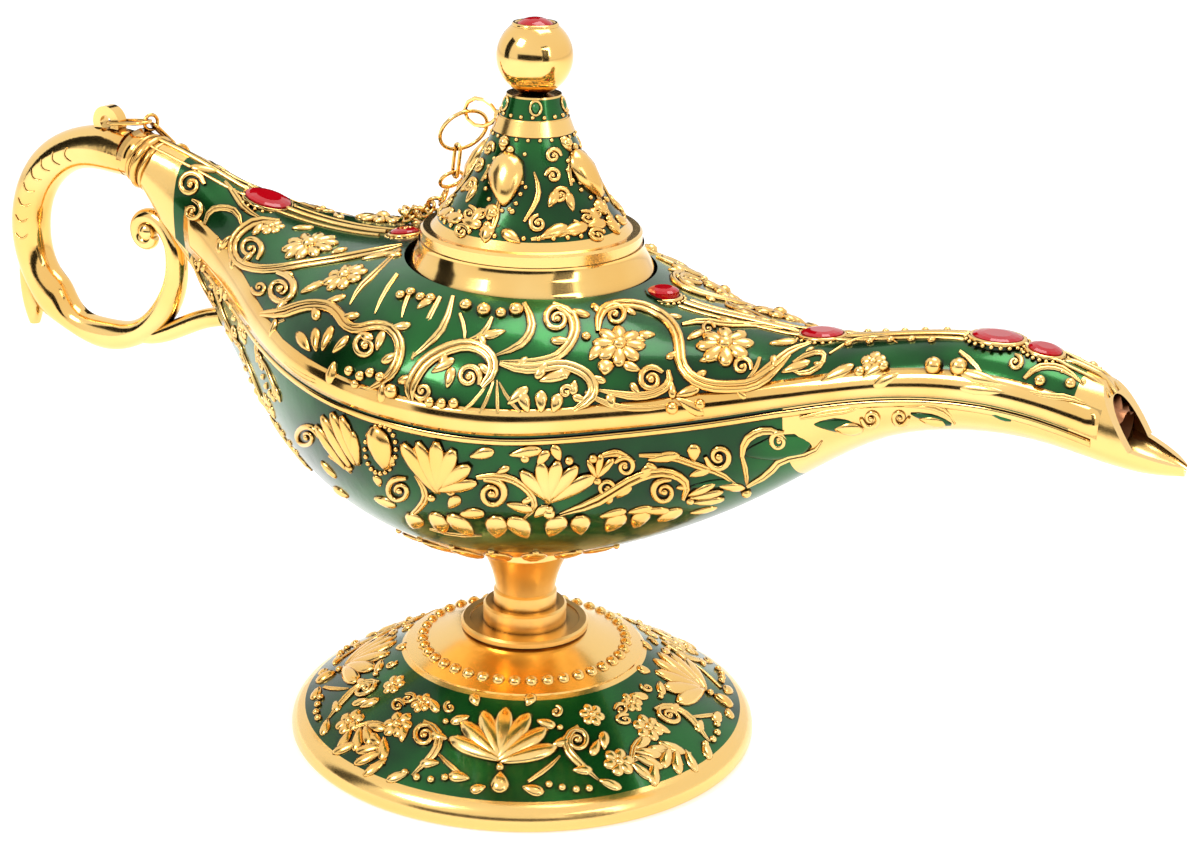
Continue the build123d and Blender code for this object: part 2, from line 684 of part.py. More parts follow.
def side_tube(shares, radius):
    """A tube of the handle, placed in shares of the loop about its centre."""
    stations = []
    for place_share, height_share, radius_share in shares:
        place = -LOOP_BACK + place_share * LOOP_RADIUS
        height = LOOP_HEIGHT + height_share * LOOP_RADIUS
        stations.append((place, height, radius_share * radius))
    return tube_through(stations)


def wire_ring(points, sides):
    """A closed ring of thin wire with a many-sided section, along a flat outline."""
    path = Polyline(*points, close=True)
    start = Plane(origin=path @ 0, z_dir=path % 0)
    return sweep(start * RegularPolygon(WIRE_RADIUS, sides), path=path, transition=Transition.RIGHT)


def ring_points(radius, sides):
    """Points of a round ring, with one at each quarter when the number of sides allows it."""
    points = []
    for side in range(sides):
        angle = 2 * math.pi * side / sides
        points.append((radius * math.cos(angle), radius * math.sin(angle)))
    return points


def link_points(length, width):
    """Points of a long link with straight sides and round ends, measured on its middle line."""
    points = []
    for end in (1, -1):
        for step in range(LINK_END_STEPS + 1):
            angle = math.pi * step / LINK_END_STEPS - math.pi / 2
            along = (length - width) / 2 + width / 2 * math.cos(angle)
            points.append((end * along, end * width / 2 * math.sin(angle)))
    return points


def eye_root():
    """How far the eye's loop starts from the axis, just outside the lid's band."""
    return BAND_RADIUS + BAND_STEP + WIRE_RADIUS


def eye_plug(allowance):
    """The eye's plug in the lid's neck."""
    foot = STUD_RADIUS + LID_WALL
    place = Location((-foot, 0, EYE_HEIGHT), (0, -90, 0))
    return place * Cylinder(EYE_PLUG_RADIUS + allowance, eye_root() - foot, align=UPRIGHT)


def make_lid_eye():
    """A wire eye that stands out from the lid's neck towards the handle."""
    root = eye_root()
    points = []
    for along_share, side_share in EYE_SHARES:
        points.append((-root - along_share * (EYE_REACH - root), EYE_HEIGHT + side_share * EYE_WIDTH / 2))
    loop = Plane.XZ * wire_ring(points, WIRE_SIDES)
    return loop + eye_plug(0)


def hang_direction(lean):
    """The way a hanging ring points: down, and by this many degrees towards the tail."""
    turn = math.radians(LID_RING_TURN)
    side = math.sin(math.radians(lean))
    return Vector(-side * math.sin(turn), side * math.cos(turn), -math.cos(math.radians(lean)))


def swing_axis():
    """The level line that the rings under the lid swing about."""
    turn = math.radians(LID_RING_TURN)
    return Vector(math.cos(turn), math.sin(turn), 0)


def hold():
    """From the middle of one wire to the middle of the next, where one ring holds another."""
    return 2 * WIRE_RADIUS + 3 * FIT


def ring_across(top, direction, radius):
    """A round ring that hangs from its top and passes along the swing axis there."""
    axis = swing_axis()
    place = Plane(origin=top + direction * radius, x_dir=axis, z_dir=axis.cross(direction))
    return place * wire_ring(ring_points(radius, RING_SIDES), WIRE_SIDES)


def lid_ring_top():
    """Just inside the far end of the eye, which the ring crosses at a slant."""
    inside = hold() / math.sin(math.radians(LID_RING_TURN))
    return Vector(inside - EYE_REACH, 0, EYE_HEIGHT)


def make_lid_ring():
    return ring_across(lid_ring_top(), hang_direction(LID_RING_LEAN), LID_RING_RADIUS)


def hook_top():
    """The hook's upper wire, just inside the lowest point of the lid's ring."""
    lowest = lid_ring_top() + hang_direction(LID_RING_LEAN) * 2 * LID_RING_RADIUS
    return lowest - hang_direction(HOOK_LEAN) * hold()


def make_chain_hook():
    """A long oval link, square to the ring that it hangs from."""
    down = hang_direction(HOOK_LEAN)
    place = Plane(origin=hook_top() + down * HOOK_LENGTH / 2, x_dir=down, z_dir=swing_axis())
    return place * wire_ring(link_points(HOOK_LENGTH, HOOK_WIDTH), WIRE_SIDES)


def chain_ring_top():
    down = hang_direction(HOOK_LEAN)
    return hook_top() + down * (HOOK_LENGTH - hold())


def make_chain_ring():
    return ring_across(chain_ring_top(), hang_direction(CHAIN_RING_LEAN), CHAIN_RING_RADIUS)


def chain_front_end():
    """Where the run of small links ends, just under the chain's ring."""
    direction = hang_direction(CHAIN_RING_LEAN)
    return chain_ring_top() + direction * (2 * CHAIN_RING_RADIUS + 2 * WIRE_RADIUS + LINK_GAP)


def lug_link_start():
    """Place of the lug link's wire inside the ear's hole."""
    return Vector(EAR_BORE / 8 - EAR_BACK, 0, EAR_HEIGHT)


def lug_link_direction():
    rise = math.radians(LUG_LINK_RISE)
    return Vector(math.cos(rise), 0, math.sin(rise))


def lug_link_width():
    return EAR_THICKNESS + 2 * WIRE_RADIUS + 2 * SEAT_GAP


def make_lug_link():
    """A long link through the ear, resting on the tail by the ring that it holds."""
    along = lug_link_direction()
    middle = lug_link_start() + along * LUG_LINK_LENGTH / 2
    place = Plane(origin=middle, x_dir=along, z_dir=along.cross(Vector(0, -1, 0)))
    return place * wire_ring(link_points(LUG_LINK_LENGTH, lug_link_width()), WIRE_SIDES)


def lug_pull():
    """The way the chain pulls the lug's ring: down behind the tail."""
    turn, drop = math.radians(LUG_PULL_TURN), math.radians(LUG_PULL_DROP)
    return Vector(math.cos(drop) * math.cos(turn), math.cos(drop) * math.sin(turn), -math.sin(drop))


def lug_side():
    """The level line square to the pull."""
    return lug_pull().cross(Vector(0, 0, 1)).normalized()


def lug_ring_start():
    """Inside the lug link's round end, where the pull crosses its wire squarely."""
    half = lug_link_width() / 2
    turn = math.radians(LUG_PULL_TURN)
    along = lug_link_direction()
    middle = lug_link_start() + along * (LUG_LINK_LENGTH - half)
    contact = middle + (along * math.cos(turn) + Vector(0, math.sin(turn), 0)) * half
    return contact - lug_pull() * hold()


def make_lug_ring():
    """A small upright ring through the lug link's front end."""
    pull = lug_pull()
    place = Plane(origin=lug_ring_start() + pull * LUG_RING_RADIUS, x_dir=pull, z_dir=lug_side())
    return place * wire_ring(ring_points(LUG_RING_RADIUS, LINK_SIDES), WIRE_SIDES)


def lug_hook_start():
    return lug_ring_start() + lug_pull() * (2 * LUG_RING_RADIUS - hold())


def make_lug_hook():
    """A long link that leans down behind the tail from the lug's ring."""
    pull = lug_pull()
    place = Plane(origin=lug_hook_start() + pull * HOOK_LENGTH / 2, x_dir=pull, z_dir=pull.cross(lug_side()))
    return place * wire_ring(link_points(HOOK_LENGTH, HOOK_WIDTH), WIRE_SIDES)


def chain_rear_end():
    """Where the run of small links ends, just under the lug's hook."""
    return lug_hook_start() + lug_pull() * (HOOK_LENGTH + 2 * WIRE_RADIUS + LINK_GAP)


def above_cover(cover, place, side):
    """A point of the chain's middle line that rides over the cover, square to its surface."""
    step = LINK_RADIUS / 2
    height = surface_height(cover, place, side)
    along = Vector(step, 0, surface_height(cover, place + step, side) - height)
    across = Vector(0, step, surface_height(cover, place, side + step) - height)
    return Vector(place, side, height) + along.cross(across).normalized() * CHAIN_RIDE


def chain_route(cover):
    """The middle line of the run of small links, from the tail to the lid."""
    points = [chain_rear_end()]
    for along, across, height in CHAIN_HANG_SHARES:
        points.append(Vector(along * TAIL_REACH, across * BODY_HALF_WIDTH, height * SEAM_HEIGHT))
    for along, across in CHAIN_SHOULDER_SHARES:
        points.append(above_cover(cover, along * TAIL_REACH, across * BODY_HALF_WIDTH))
    along, across, height = CHAIN_RISE_SHARES
    points.append(Vector(along * TAIL_REACH, across * BODY_HALF_WIDTH, height * SEAM_HEIGHT))
    points.append(chain_front_end())
    return Spline(*points)


def make_chain_links(cover):
    """Small round links along the route, each turned a quarter from the one before."""
    route = chain_route(cover)
    link = wire_ring(ring_points(LINK_RADIUS, LINK_SIDES), LINK_WIRE_SIDES)
    free = route.length - 2 * LINK_RADIUS
    count = round(free / LINK_PITCH)
    links = []
    for index in range(count + 1):
        share = (LINK_RADIUS + free * index / count) / route.length
        along = route % share
        level = along.cross(Vector(0, 0, 1)).normalized()
        turn = math.pi / 4 + index * math.pi / 2
        across = level * math.cos(turn) + level.cross(along) * math.sin(turn)
        links.append(Plane(origin=route @ share, x_dir=along, z_dir=across) * link)
    return links


def build_pieces():
    """Every piece of the lamp by name."""
    cavity = body_cavity()
    outer_cover = loft_halves(BODY_SHARES, cover_arch)
    outer_bowl = loft_halves(BODY_SHARES, bowl_arch)
    sizes = {
        "tail_stone": TAIL_STONE,
        "rear_ridge_stone": REAR_RIDGE_STONE,
        "front_ridge_stone": FRONT_RIDGE_STONE,
        "spout_root_stone": SPOUT_ROOT_STONE,
        "spout_oval_stone": SPOUT_OVAL_STONE,
        "spout_tip_stone": SPOUT_TIP_STONE,
    }
    places = {name: stone_place(outer_cover, stone) for name, stone in sizes.items()}
    stones = [(places[name], stone) for name, stone in sizes.items()]
    links = make_chain_links(outer_cover)
    middle = len(links) // 2
    pieces = {
        "foot": make_foot(),
        "stem_base": make_stem_base(),
        "stem_neck": make_stem_neck(),
        "stem_bolt": make_stem_bolt(),
        "foot_washer": make_foot_washer(),
        "foot_nut": make_foot_nut(),
        "bowl": make_bowl(outer_bowl, cavity),
        "cover": make_cover(outer_cover, cavity, stones),
        "collar": make_collar(),
        "handle": make_handle([outer_cover, outer_bowl]),
        "lid": make_lid(),
        "lid_eye": make_lid_eye(),
        "finial_stud": make_finial_stud(),
        "finial_ball": make_finial_ball(),
        "finial_gem": make_finial_gem(),
        "lid_ring": make_lid_ring(),
        "chain_hook": make_chain_hook(),
        "chain_ring": make_chain_ring(),
        "lug_link": make_lug_link(),
        "lug_ring": make_lug_ring(),
        "lug_hook": make_lug_hook(),
        "rear_chain_links": Compound(links[:middle]),
        "front_chain_links": Compound(links[middle:]),
    }
    for name, stone in sizes.items():
        pieces[name] = places[name] * make_stone(stone)
    return pieces


def main():
    """Builds every piece and writes one file for each."""
    os.makedirs("parts", exist_ok=True)
    for name, piece in build_pieces().items():
        export_step(piece, os.path.join("parts", name + ".step"))
        print(name, len(piece.solids()), round(piece.volume))


if __name__ == "__main__":
    main()
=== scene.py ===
"""Looks of a gilt and enamelled oil lamp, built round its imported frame."""

import json
import logging
import math
from dataclasses import dataclass, field
from enum import Enum
from typing import Iterable, Sequence

import bmesh
import bpy
import numpy as np
from mathutils import Matrix, Vector
from mathutils.bvhtree import BVHTree


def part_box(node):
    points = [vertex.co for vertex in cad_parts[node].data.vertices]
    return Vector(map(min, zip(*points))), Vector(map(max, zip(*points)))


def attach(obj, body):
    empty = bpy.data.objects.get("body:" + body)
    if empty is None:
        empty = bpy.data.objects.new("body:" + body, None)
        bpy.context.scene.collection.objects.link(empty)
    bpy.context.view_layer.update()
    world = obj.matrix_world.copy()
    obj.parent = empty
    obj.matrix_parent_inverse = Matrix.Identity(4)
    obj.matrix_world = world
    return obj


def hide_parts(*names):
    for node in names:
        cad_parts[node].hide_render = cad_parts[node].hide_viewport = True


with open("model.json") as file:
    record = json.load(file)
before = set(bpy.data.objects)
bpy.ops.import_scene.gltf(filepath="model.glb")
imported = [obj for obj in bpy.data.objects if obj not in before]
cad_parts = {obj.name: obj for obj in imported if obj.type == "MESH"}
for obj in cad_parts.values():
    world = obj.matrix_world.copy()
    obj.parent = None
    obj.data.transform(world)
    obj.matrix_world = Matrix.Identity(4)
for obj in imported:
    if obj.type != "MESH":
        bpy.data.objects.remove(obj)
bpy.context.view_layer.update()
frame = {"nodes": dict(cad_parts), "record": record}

MM = 0.001
# Rays start this far out, in millimetres, which is beside any piece.
OUTSIDE = 80.0
log = logging.getLogger("oil_lamp")

Colour = tuple[float, float, float]
Place = tuple[float, float]


class Side(Enum):
    """The lamp's two sides, as the sign of Y."""

    NEAR = -1
    FAR = 1


class Axis(Enum):
    """What a gilt belt of an enamelled piece is measured along."""

    X = "x"
    Z = "z"
    REACH = "reach"


# Finishes


class Graph:
    """A node tree with short ways to add nodes and join them."""

    def __init__(self, tree: bpy.types.NodeTree) -> None:
        """Starts an empty tree.

        Args:
            tree: The tree of a material, world or group.
        """
        self.tree = tree
        tree.nodes.clear()

    def add(self, kind: str, inputs: dict | None = None, **settings: object) -> bpy.types.Node:
        """Adds a node.

        Args:
            kind: The node's class name without its prefix.
            inputs: Values or sockets by input name or number.
            **settings: The node's own settings.

        Returns:
            The new node.
        """
        node = self.tree.nodes.new("ShaderNode" + kind)
        for name, value in settings.items():
            setattr(node, name, value)
        for name, value in (inputs or {}).items():
            if isinstance(value, bpy.types.NodeSocket):
                self.tree.links.new(value, node.inputs[name])
            else:
                node.inputs[name].default_value = value
        return node

    def math(self, operation: str, *values: object) -> bpy.types.NodeSocket:
        """Adds a math node and returns its result."""
        return self.add("Math", dict(enumerate(values)), operation=operation).outputs[0]

    def mix(self, factor: object, first: object, second: object) -> bpy.types.NodeSocket:
        """Mixes two colours.

        Args:
            factor: Share of the second colour.
            first: Colour or socket.
            second: Colour or socket.

        Returns:
            The mixed colour's socket.
        """
        node = self.add("Mix", {0: factor, 6: first, 7: second}, data_type="RGBA")
        return node.outputs[2]

    def span(self, value: object, low: float, high: float, start: float, end: float) -> bpy.types.NodeSocket:
        """Maps a value from one span to another, smoothly and without passing its ends.

        Args:
            value: Socket to map.
            low: Value that becomes start.
            high: Value that becomes end.
            start: Result at low.
            end: Result at high.

        Returns:
            The mapped value's socket.
        """
        inputs = {0: value, 1: low, 2: high, 3: start, 4: end}
        return self.add("MapRange", inputs, interpolation_type="SMOOTHSTEP").outputs[0]


def rgba(colour: Colour) -> tuple[float, float, float, float]:
    """A colour with full cover."""
    return (*colour, 1.0)


def make_group(name: str, inputs: dict[str, tuple[str, float]], outputs: Sequence[str]) -> bpy.types.NodeTree:
    """An empty shader group with named sockets.

    Args:
        name: The group's name.
        inputs: Socket type and default value by name.
        outputs: Names of the values that it puts out.

    Returns:
        The group.
    """
    group = bpy.data.node_groups.new(name, "ShaderNodeTree")
    for label, (kind, value) in inputs.items():
        socket = group.interface.new_socket(label, in_out="INPUT", socket_type=kind)
        if kind == "NodeSocketFloat":
            socket.default_value = value
    for label in outputs:
        group.interface.new_socket(label, in_out="OUTPUT", socket_type="NodeSocketFloat")
    return group


def handling_group() -> bpy.types.NodeTree:
    """Fine unevenness of a handled surface: roughness, tone and height.

    Returns:
        The group, with inputs Vector, Scale, Roughness and Spread.
    """
    inputs = {
        "Vector": ("NodeSocketVector", 0.0),
        "Scale": ("NodeSocketFloat", 300.0),
        "Roughness": ("NodeSocketFloat", 0.2),
        "Spread": ("NodeSocketFloat", 0.1),
    }
    group = make_group("handling", inputs, ("Roughness", "Tone", "Height"))
    graph = Graph(group)
    given = group.nodes.new("NodeGroupInput")
    clouds = graph.add("TexNoise", {"Vector": given.outputs[0], "Scale": given.outputs[1], "Detail": 4.0})
    broad = graph.add("TexNoise", {"Vector": given.outputs[0], "Scale": 45.0, "Detail": 3.0})
    centred = graph.math("SUBTRACT", clouds.outputs[0], 0.5)
    change = graph.math("MULTIPLY", centred, given.outputs[3])
    rough = graph.math("ADD", given.outputs[2], change)
    result = group.nodes.new("NodeGroupOutput")
    group.links.new(rough, result.inputs[0])
    group.links.new(broad.outputs[0], result.inputs[1])
    group.links.new(clouds.outputs[0], result.inputs[2])
    return group


class Finishes:
    """Shared shader groups and the materials made from them, each built once."""

    def __init__(self) -> None:
        """Builds the shared groups."""
        self.handling = handling_group()
        self.made: dict[str, bpy.types.Material] = {}

    def start(self, name: str) -> tuple[Graph, bpy.types.Node, bpy.types.NodeSocket]:
        """A new material with its shader and its coordinates.

        Args:
            name: The material's name.

        Returns:
            Its graph, its Principled shader and the object coordinates.
        """
        material = bpy.data.materials.new(name)
        material.use_nodes = True
        graph = Graph(material.node_tree)
        shader = graph.add("BsdfPrincipled")
        graph.add("OutputMaterial", {0: shader.outputs[0]})
        places = graph.add("TexCoord").outputs["Object"]
        self.made[name] = material
        return graph, shader, places


@dataclass(frozen=True)
class Finish:
    """A finish, whose material is made the first time that a piece wears it."""

    name: str

    def build(self, finishes: Finishes) -> bpy.types.Material:
        """Makes the material, or gives it again.

        Args:
            finishes: Shared groups and made materials.

        Returns:
            The material.
        """
        if self.name not in finishes.made:
            self.make(finishes)
        return finishes.made[self.name]

    def make(self, finishes: Finishes) -> None:
        """Makes the material; each finish has its own way."""
        raise NotImplementedError(self.name)


@dataclass(frozen=True)
class Gilt(Finish):
    """Gold plate, from mirror to satin, with painted shade darkening its creases."""

    bright: Colour = (0.98, 0.67, 0.25)
    deep: Colour = (0.90, 0.52, 0.14)
    roughness: float = 0.11
    spread: float = 0.12
    grain: float = 260.0
    bump: float = 0.05
    # Painted shade: this dark brown is mixed into the gold where the occlusion mask finds creases and corners, within
    # this reach in millimetres.
    crease_shade: Colour = (0.09, 0.028, 0.006)
    crease_shade_reach: float = 1.6

    def make(self, finishes: Finishes) -> None:
        """Makes the material.

        Args:
            finishes: Shared groups and made materials.
        """
        graph, shader, places = finishes.start(self.name)
        values = {"Vector": places, "Scale": self.grain, "Roughness": self.roughness, "Spread": self.spread}
        worn = graph.add("Group", values, node_tree=finishes.handling)
        tone = graph.span(worn.outputs[1], 0.3, 0.7, 0.0, 1.0)
        unshaded = graph.mix(tone, rgba(self.deep), rgba(self.bright))
        # Painted shade: the occlusion mask turns the gold towards the dark brown in creases and corners.
        corners = graph.add("AmbientOcclusion", {"Distance": self.crease_shade_reach * MM}, samples=4)
        open_share = graph.span(corners.outputs["AO"], 0.35, 0.85, 0.0, 1.0)
        colour = graph.mix(open_share, rgba(self.crease_shade), unshaded)
        bump = graph.add("Bump", {"Strength": self.bump, "Distance": 0.05 * MM, "Height": worn.outputs[2]})
        graph.tree.links.new(colour, shader.inputs["Base Color"])
        graph.tree.links.new(worn.outputs[0], shader.inputs["Roughness"])
        graph.tree.links.new(bump.outputs[0], shader.inputs["Normal"])
        shader.inputs["Metallic"].default_value = 1.0


@dataclass(frozen=True)
class Belt:
    """A plain gilt stretch of an enamelled piece, in millimetres along an axis."""

    axis: Axis
    low: float
    high: float


@dataclass(frozen=True)
class Enamelled(Finish):
    """Translucent green enamel whose tone varies at random, with painted shade darkening its corners, and plain gilt
    belts.
    """

    belts: tuple[Belt, ...] = ()
    dark: Colour = (0.002, 0.040, 0.006)
    light: Colour = (0.010, 0.130, 0.020)
    # Painted shade: this near black is mixed into the enamel where the occlusion mask finds corners, within
    # corner_reach millimetres.
    corner: Colour = (0.004, 0.006, 0.002)
    gold: Colour = (0.95, 0.61, 0.20)
    corner_reach: float = 1.7

    def belt_mask(self, graph: Graph, places: bpy.types.NodeSocket) -> bpy.types.NodeSocket:
        """Where the belts lie.

        Args:
            graph: The material's graph.
            places: Object coordinates.

        Returns:
            A value of one on the belts and zero elsewhere.
        """
        parts = graph.add("SeparateXYZ", {0: places})
        flat = graph.add("CombineXYZ", {0: parts.outputs[0], 1: parts.outputs[1]})
        reach = graph.add("VectorMath", {0: flat.outputs[0]}, operation="LENGTH").outputs[1]
        along = {Axis.X: parts.outputs[0], Axis.Z: parts.outputs[2], Axis.REACH: reach}
        mask = graph.math("MULTIPLY", parts.outputs[0], 0.0)
        for belt in self.belts:
            middle = (belt.low + belt.high) / 2 * MM
            half = (belt.high - belt.low) / 2 * MM
            inside = graph.math("COMPARE", along[belt.axis], middle, half)
            mask = graph.math("MAXIMUM", mask, inside)
        return mask

    def make(self, finishes: Finishes) -> None:
        """Makes the material.

        Args:
            finishes: Shared groups and made materials.
        """
        graph, shader, places = finishes.start(self.name)
        values = {"Vector": places, "Scale": 1500.0, "Roughness": 0.2, "Spread": 0.06}
        worn = graph.add("Group", values, node_tree=finishes.handling)
        belts = self.belt_mask(graph, places)
        pool = graph.span(worn.outputs[1], 0.35, 0.65, 0.0, 1.0)
        green = graph.mix(pool, rgba(self.dark), rgba(self.light))
        # Painted shade: corners found by occlusion turn towards the near black corner colour.
        corners = graph.add("AmbientOcclusion", {"Distance": self.corner_reach * MM}, samples=6)
        open_share = graph.span(corners.outputs["AO"], 0.62, 0.96, 0.0, 1.0)
        shaded = graph.mix(open_share, rgba(self.corner), green)
        colour = graph.mix(belts, shaded, rgba(self.gold))
        bump = graph.add("Bump", {"Strength": 0.22, "Distance": 0.03 * MM, "Height": worn.outputs[2]})
        metal = graph.span(belts, 0.0, 1.0, 0.72, 1.0)
        graph.tree.links.new(colour, shader.inputs["Base Color"])
        graph.tree.links.new(metal, shader.inputs["Metallic"])
        graph.tree.links.new(worn.outputs[0], shader.inputs["Roughness"])
        graph.tree.links.new(bump.outputs[0], shader.inputs["Normal"])
        shader.inputs["Coat Weight"].default_value = 0.25
        shader.inputs["Coat Roughness"].default_value = 0.05


@dataclass(frozen=True)
class Gem(Finish):
    """Clear coloured glass of a stone."""

    colour: Colour
    deep: Colour

    def make(self, finishes: Finishes) -> None:
        """Makes the material.

        Args:
            finishes: Shared groups and made materials.
        """
        graph, shader, places = finishes.start(self.name)
        values = {"Vector": places, "Scale": 500.0, "Roughness": 0.04, "Spread": 0.03}
        worn = graph.add("Group", values, node_tree=finishes.handling)
        colour = graph.mix(worn.outputs[1], rgba(self.deep), rgba(self.colour))
        graph.tree.links.new(colour, shader.inputs["Base Color"])
        graph.tree.links.new(worn.outputs[0], shader.inputs["Roughness"])
        shader.inputs["IOR"].default_value = 1.45
        shader.inputs["Coat Weight"].default_value = 0.15


POLISHED = Gilt("polished_gold")
RELIEF = Gilt("relief_gold", roughness=0.20, spread=0.16, grain=420.0, bump=0.25)
SATIN = Gilt("satin_gold", bright=(0.94, 0.62, 0.22), roughness=0.32, spread=0.12, grain=900.0, bump=0.35)
# Painted shade: a dark brown gold for the sheet inside the spout's mouth, standing in for the shade of the hollow.
MOUTH = Gilt("mouth_shade_gold", bright=(0.45, 0.20, 0.09), deep=(0.22, 0.07, 0.03), roughness=0.45, bump=0.3)
RUBY = Gem("ruby_glass", colour=(0.62, 0.0, 0.008), deep=(0.28, 0.0, 0.003))
JADE = Gem("jade_enamel", colour=(0.03, 0.26, 0.06), deep=(0.01, 0.11, 0.02))


# Laying ornament on the frame's surfaces


def node_mesh(name: str) -> bpy.types.Mesh:
    """The mesh of a node of the frame."""
    return frame["nodes"][name].data


class Skin:
    """The outside of some nodes of the frame, which ornament is laid on."""

    def __init__(self, *names: str) -> None:
        """Gathers the nodes' faces.

        Args:
            *names: The nodes.
        """
        points: list[Vector] = []
        faces: list[list[int]] = []
        self.owners: list[str] = []
        for name in names:
            mesh = node_mesh(name)
            first = len(points)
            points.extend(vertex.co.copy() for vertex in mesh.vertices)
            faces.extend([first + index for index in polygon.vertices] for polygon in mesh.polygons)
            self.owners.extend([name] * len(mesh.polygons))
        self.tree = BVHTree.FromPolygons(points, faces)

    def cast(self, start: Vector, aim: Vector) -> tuple[Vector, Vector, str] | None:
        """Where a ray first meets the skin.

        Args:
            start: Start of the ray, in metres.
            aim: Its direction.

        Returns:
            The point, the outward normal and the node met, or nothing.
        """
        place, normal, index, _ = self.tree.ray_cast(start, aim)
        if place is None:
            return None
        if normal.dot(aim) > 0:
            normal = -normal
        return place, normal, self.owners[index]


@dataclass
class Patch:
    """A small flat drawing board over a skin, with its own right, up and out."""

    skin: Skin
    middle: Vector
    right: Vector
    up: Vector
    out: Vector
    scale: float = 1.0
    depth: float = 7.0

    def spot(self, place: Place, lift: float = 0.0) -> tuple[Vector, Vector] | None:
        """The skin under a point of the drawing.

        Args:
            place: The point, in the drawing's millimetres.
            lift: Height over the skin, in millimetres.

        Returns:
            The point and the outward normal, or nothing where the skin ends.
        """
        along, across = place[0] * self.scale * MM, place[1] * self.scale * MM
        start = self.middle + self.right * along + self.up * across + self.out * self.depth * MM
        met = self.skin.cast(start, -self.out)
        if met is None or (met[0] - start).length > 2.2 * self.depth * MM:
            return None
        return met[0] + met[1] * lift * MM, met[1]


def board(skin: Skin, start: Vector, aim: Vector, right: Vector) -> Patch | None:
    """A drawing board where a ray meets a skin.

    Args:
        skin: The skin.
        start: Start of the ray.
        aim: Its direction.
        right: Which way the drawing's right points, nearly.

    Returns:
        The board, or nothing where the ray misses.
    """
    met = skin.cast(start, aim)
    if met is None:
        return None
    level = (right - met[1] * right.dot(met[1])).normalized()
    return Patch(skin, met[0], level, met[1].cross(level), met[1])


@dataclass(frozen=True)
class View:
    """The photograph's camera, in millimetres, degrees and pixels."""

    target: tuple[float, float, float] = (10.12, 5.84, 54.16)
    distance: float = 396.7
    bearing: float = 30.0
    height: float = 19.56
    roll: float = 1.63
    lens: float = 73.1
    sensor: float = 36.0
    wide: float = 1200.0
    tall: float = 848.0

    def axes(self) -> tuple[Vector, Vector, Vector]:
        """The camera's right, up and forward directions."""
        turn, drop = math.radians(self.bearing), math.radians(self.height)
        ahead = Vector((-math.sin(turn) * math.cos(drop), math.cos(turn) * math.cos(drop), -math.sin(drop)))
        level = Vector((math.cos(turn), math.sin(turn), 0))
        upright = level.cross(ahead)
        lean = math.radians(self.roll)
        right = level * math.cos(lean) + upright * math.sin(lean)
        return right, upright * math.cos(lean) - level * math.sin(lean), ahead

    def place(self) -> Vector:
        """The camera's place, in metres."""
        return (Vector(self.target) - self.axes()[2] * self.distance) * MM

    def ray(self, place: Place) -> Vector:
        """Direction of the ray through a point of the picture, with its height counted upwards from its top."""
        right, up, ahead = self.axes()
        length = self.lens / self.sensor * self.wide
        across = (place[0] - self.wide / 2) / length
        raised = (self.tall / 2 + place[1]) / length
        return (ahead + right * across + up * raised).normalized()


VIEW = View()
# Size of a pixel of the photograph at the lamp, in millimetres.
PIXEL = 0.168


class Sight(Patch):
    """A drawing board seen from the photograph's camera, in the picture's own pixels."""

    def __init__(self, skin: Skin, near_only: bool = True) -> None:
        """Looks at a skin.

        Args:
            skin: The skin.
            near_only: Whether it leaves out what lies past the lamp's middle plane.
        """
        right, up, ahead = VIEW.axes()
        super().__init__(skin, Vector(), right, up, -ahead, PIXEL)
        self.near_only = near_only

    def spot(self, place: Place, lift: float = 0.0) -> tuple[Vector, Vector] | None:
        """The skin seen at a point of the drawing.

        Args:
            place: The point.
            lift: Height over the skin, in millimetres.

        Returns:
            The point and the outward normal, or nothing.
        """
        met = self.skin.cast(VIEW.place(), VIEW.ray(place))
        if met is None or self.near_only and met[0].y > 0.1 * MM:
            return None
        return met[0] + met[1] * lift * MM, met[1]

    def flat(self, place: Place) -> Patch | None:
        """A flat board on the skin, whose unit is still a pixel.

        Args:
            place: Its middle, in the picture.

        Returns:
            The board, or nothing beside the skin.
        """
        met = self.spot((place[0], -place[1]))
        if met is None:
            return None
        right = (self.right - met[1] * self.right.dot(met[1])).normalized()
        return Patch(self.skin, met[0], right, met[1].cross(right), met[1], PIXEL)


def spiral(centre: Place, start: float, turns: float, outer: float, inner: float, steps: int = 14) -> list[Place]:
    """Points of a spiral that winds inwards.

    Args:
        centre: Its centre.
        start: Angle of its first point, in degrees.
        turns: Turns, negative for clockwise.
        outer: First radius.
        inner: Last radius.
        steps: Number of stretches.

    Returns:
        The points.
    """
    points = []
    for step in range(steps + 1):
        share = step / steps
        angle = math.radians(start) + 2 * math.pi * turns * share
        radius = outer + (inner - outer) * share
        points.append((centre[0] + radius * math.cos(angle), centre[1] + radius * math.sin(angle)))
    return points


def bow(first: Place, last: Place, rise: float, steps: int = 8) -> list[Place]:
    """Points of a shallow arc between two points.

    Args:
        first: Where it starts.
        last: Where it ends.
        rise: How far it bows to the left of its way.
        steps: Number of stretches.

    Returns:
        The points.
    """
    run = (last[0] - first[0], last[1] - first[1])
    points = []
    for step in range(steps + 1):
        share = step / steps
        lift = 4 * rise * share * (1 - share) / max(math.hypot(*run), 1e-9)
        points.append((first[0] + run[0] * share - run[1] * lift, first[1] + run[1] * share + run[0] * lift))
    return points


def hoop(middle: Vector, first: Vector, second: Vector, count: int) -> list[Vector]:
    """Points of a circle or ellipse in space.

    Args:
        middle: Its middle.
        first: From the middle to its first point.
        second: From the middle to the point a quarter turn on.
        count: Number of points.

    Returns:
        The points.
    """
    angles = (2 * math.pi * step / count for step in range(count))
    return [middle + (first * math.cos(angle) + second * math.sin(angle)) for angle in angles]


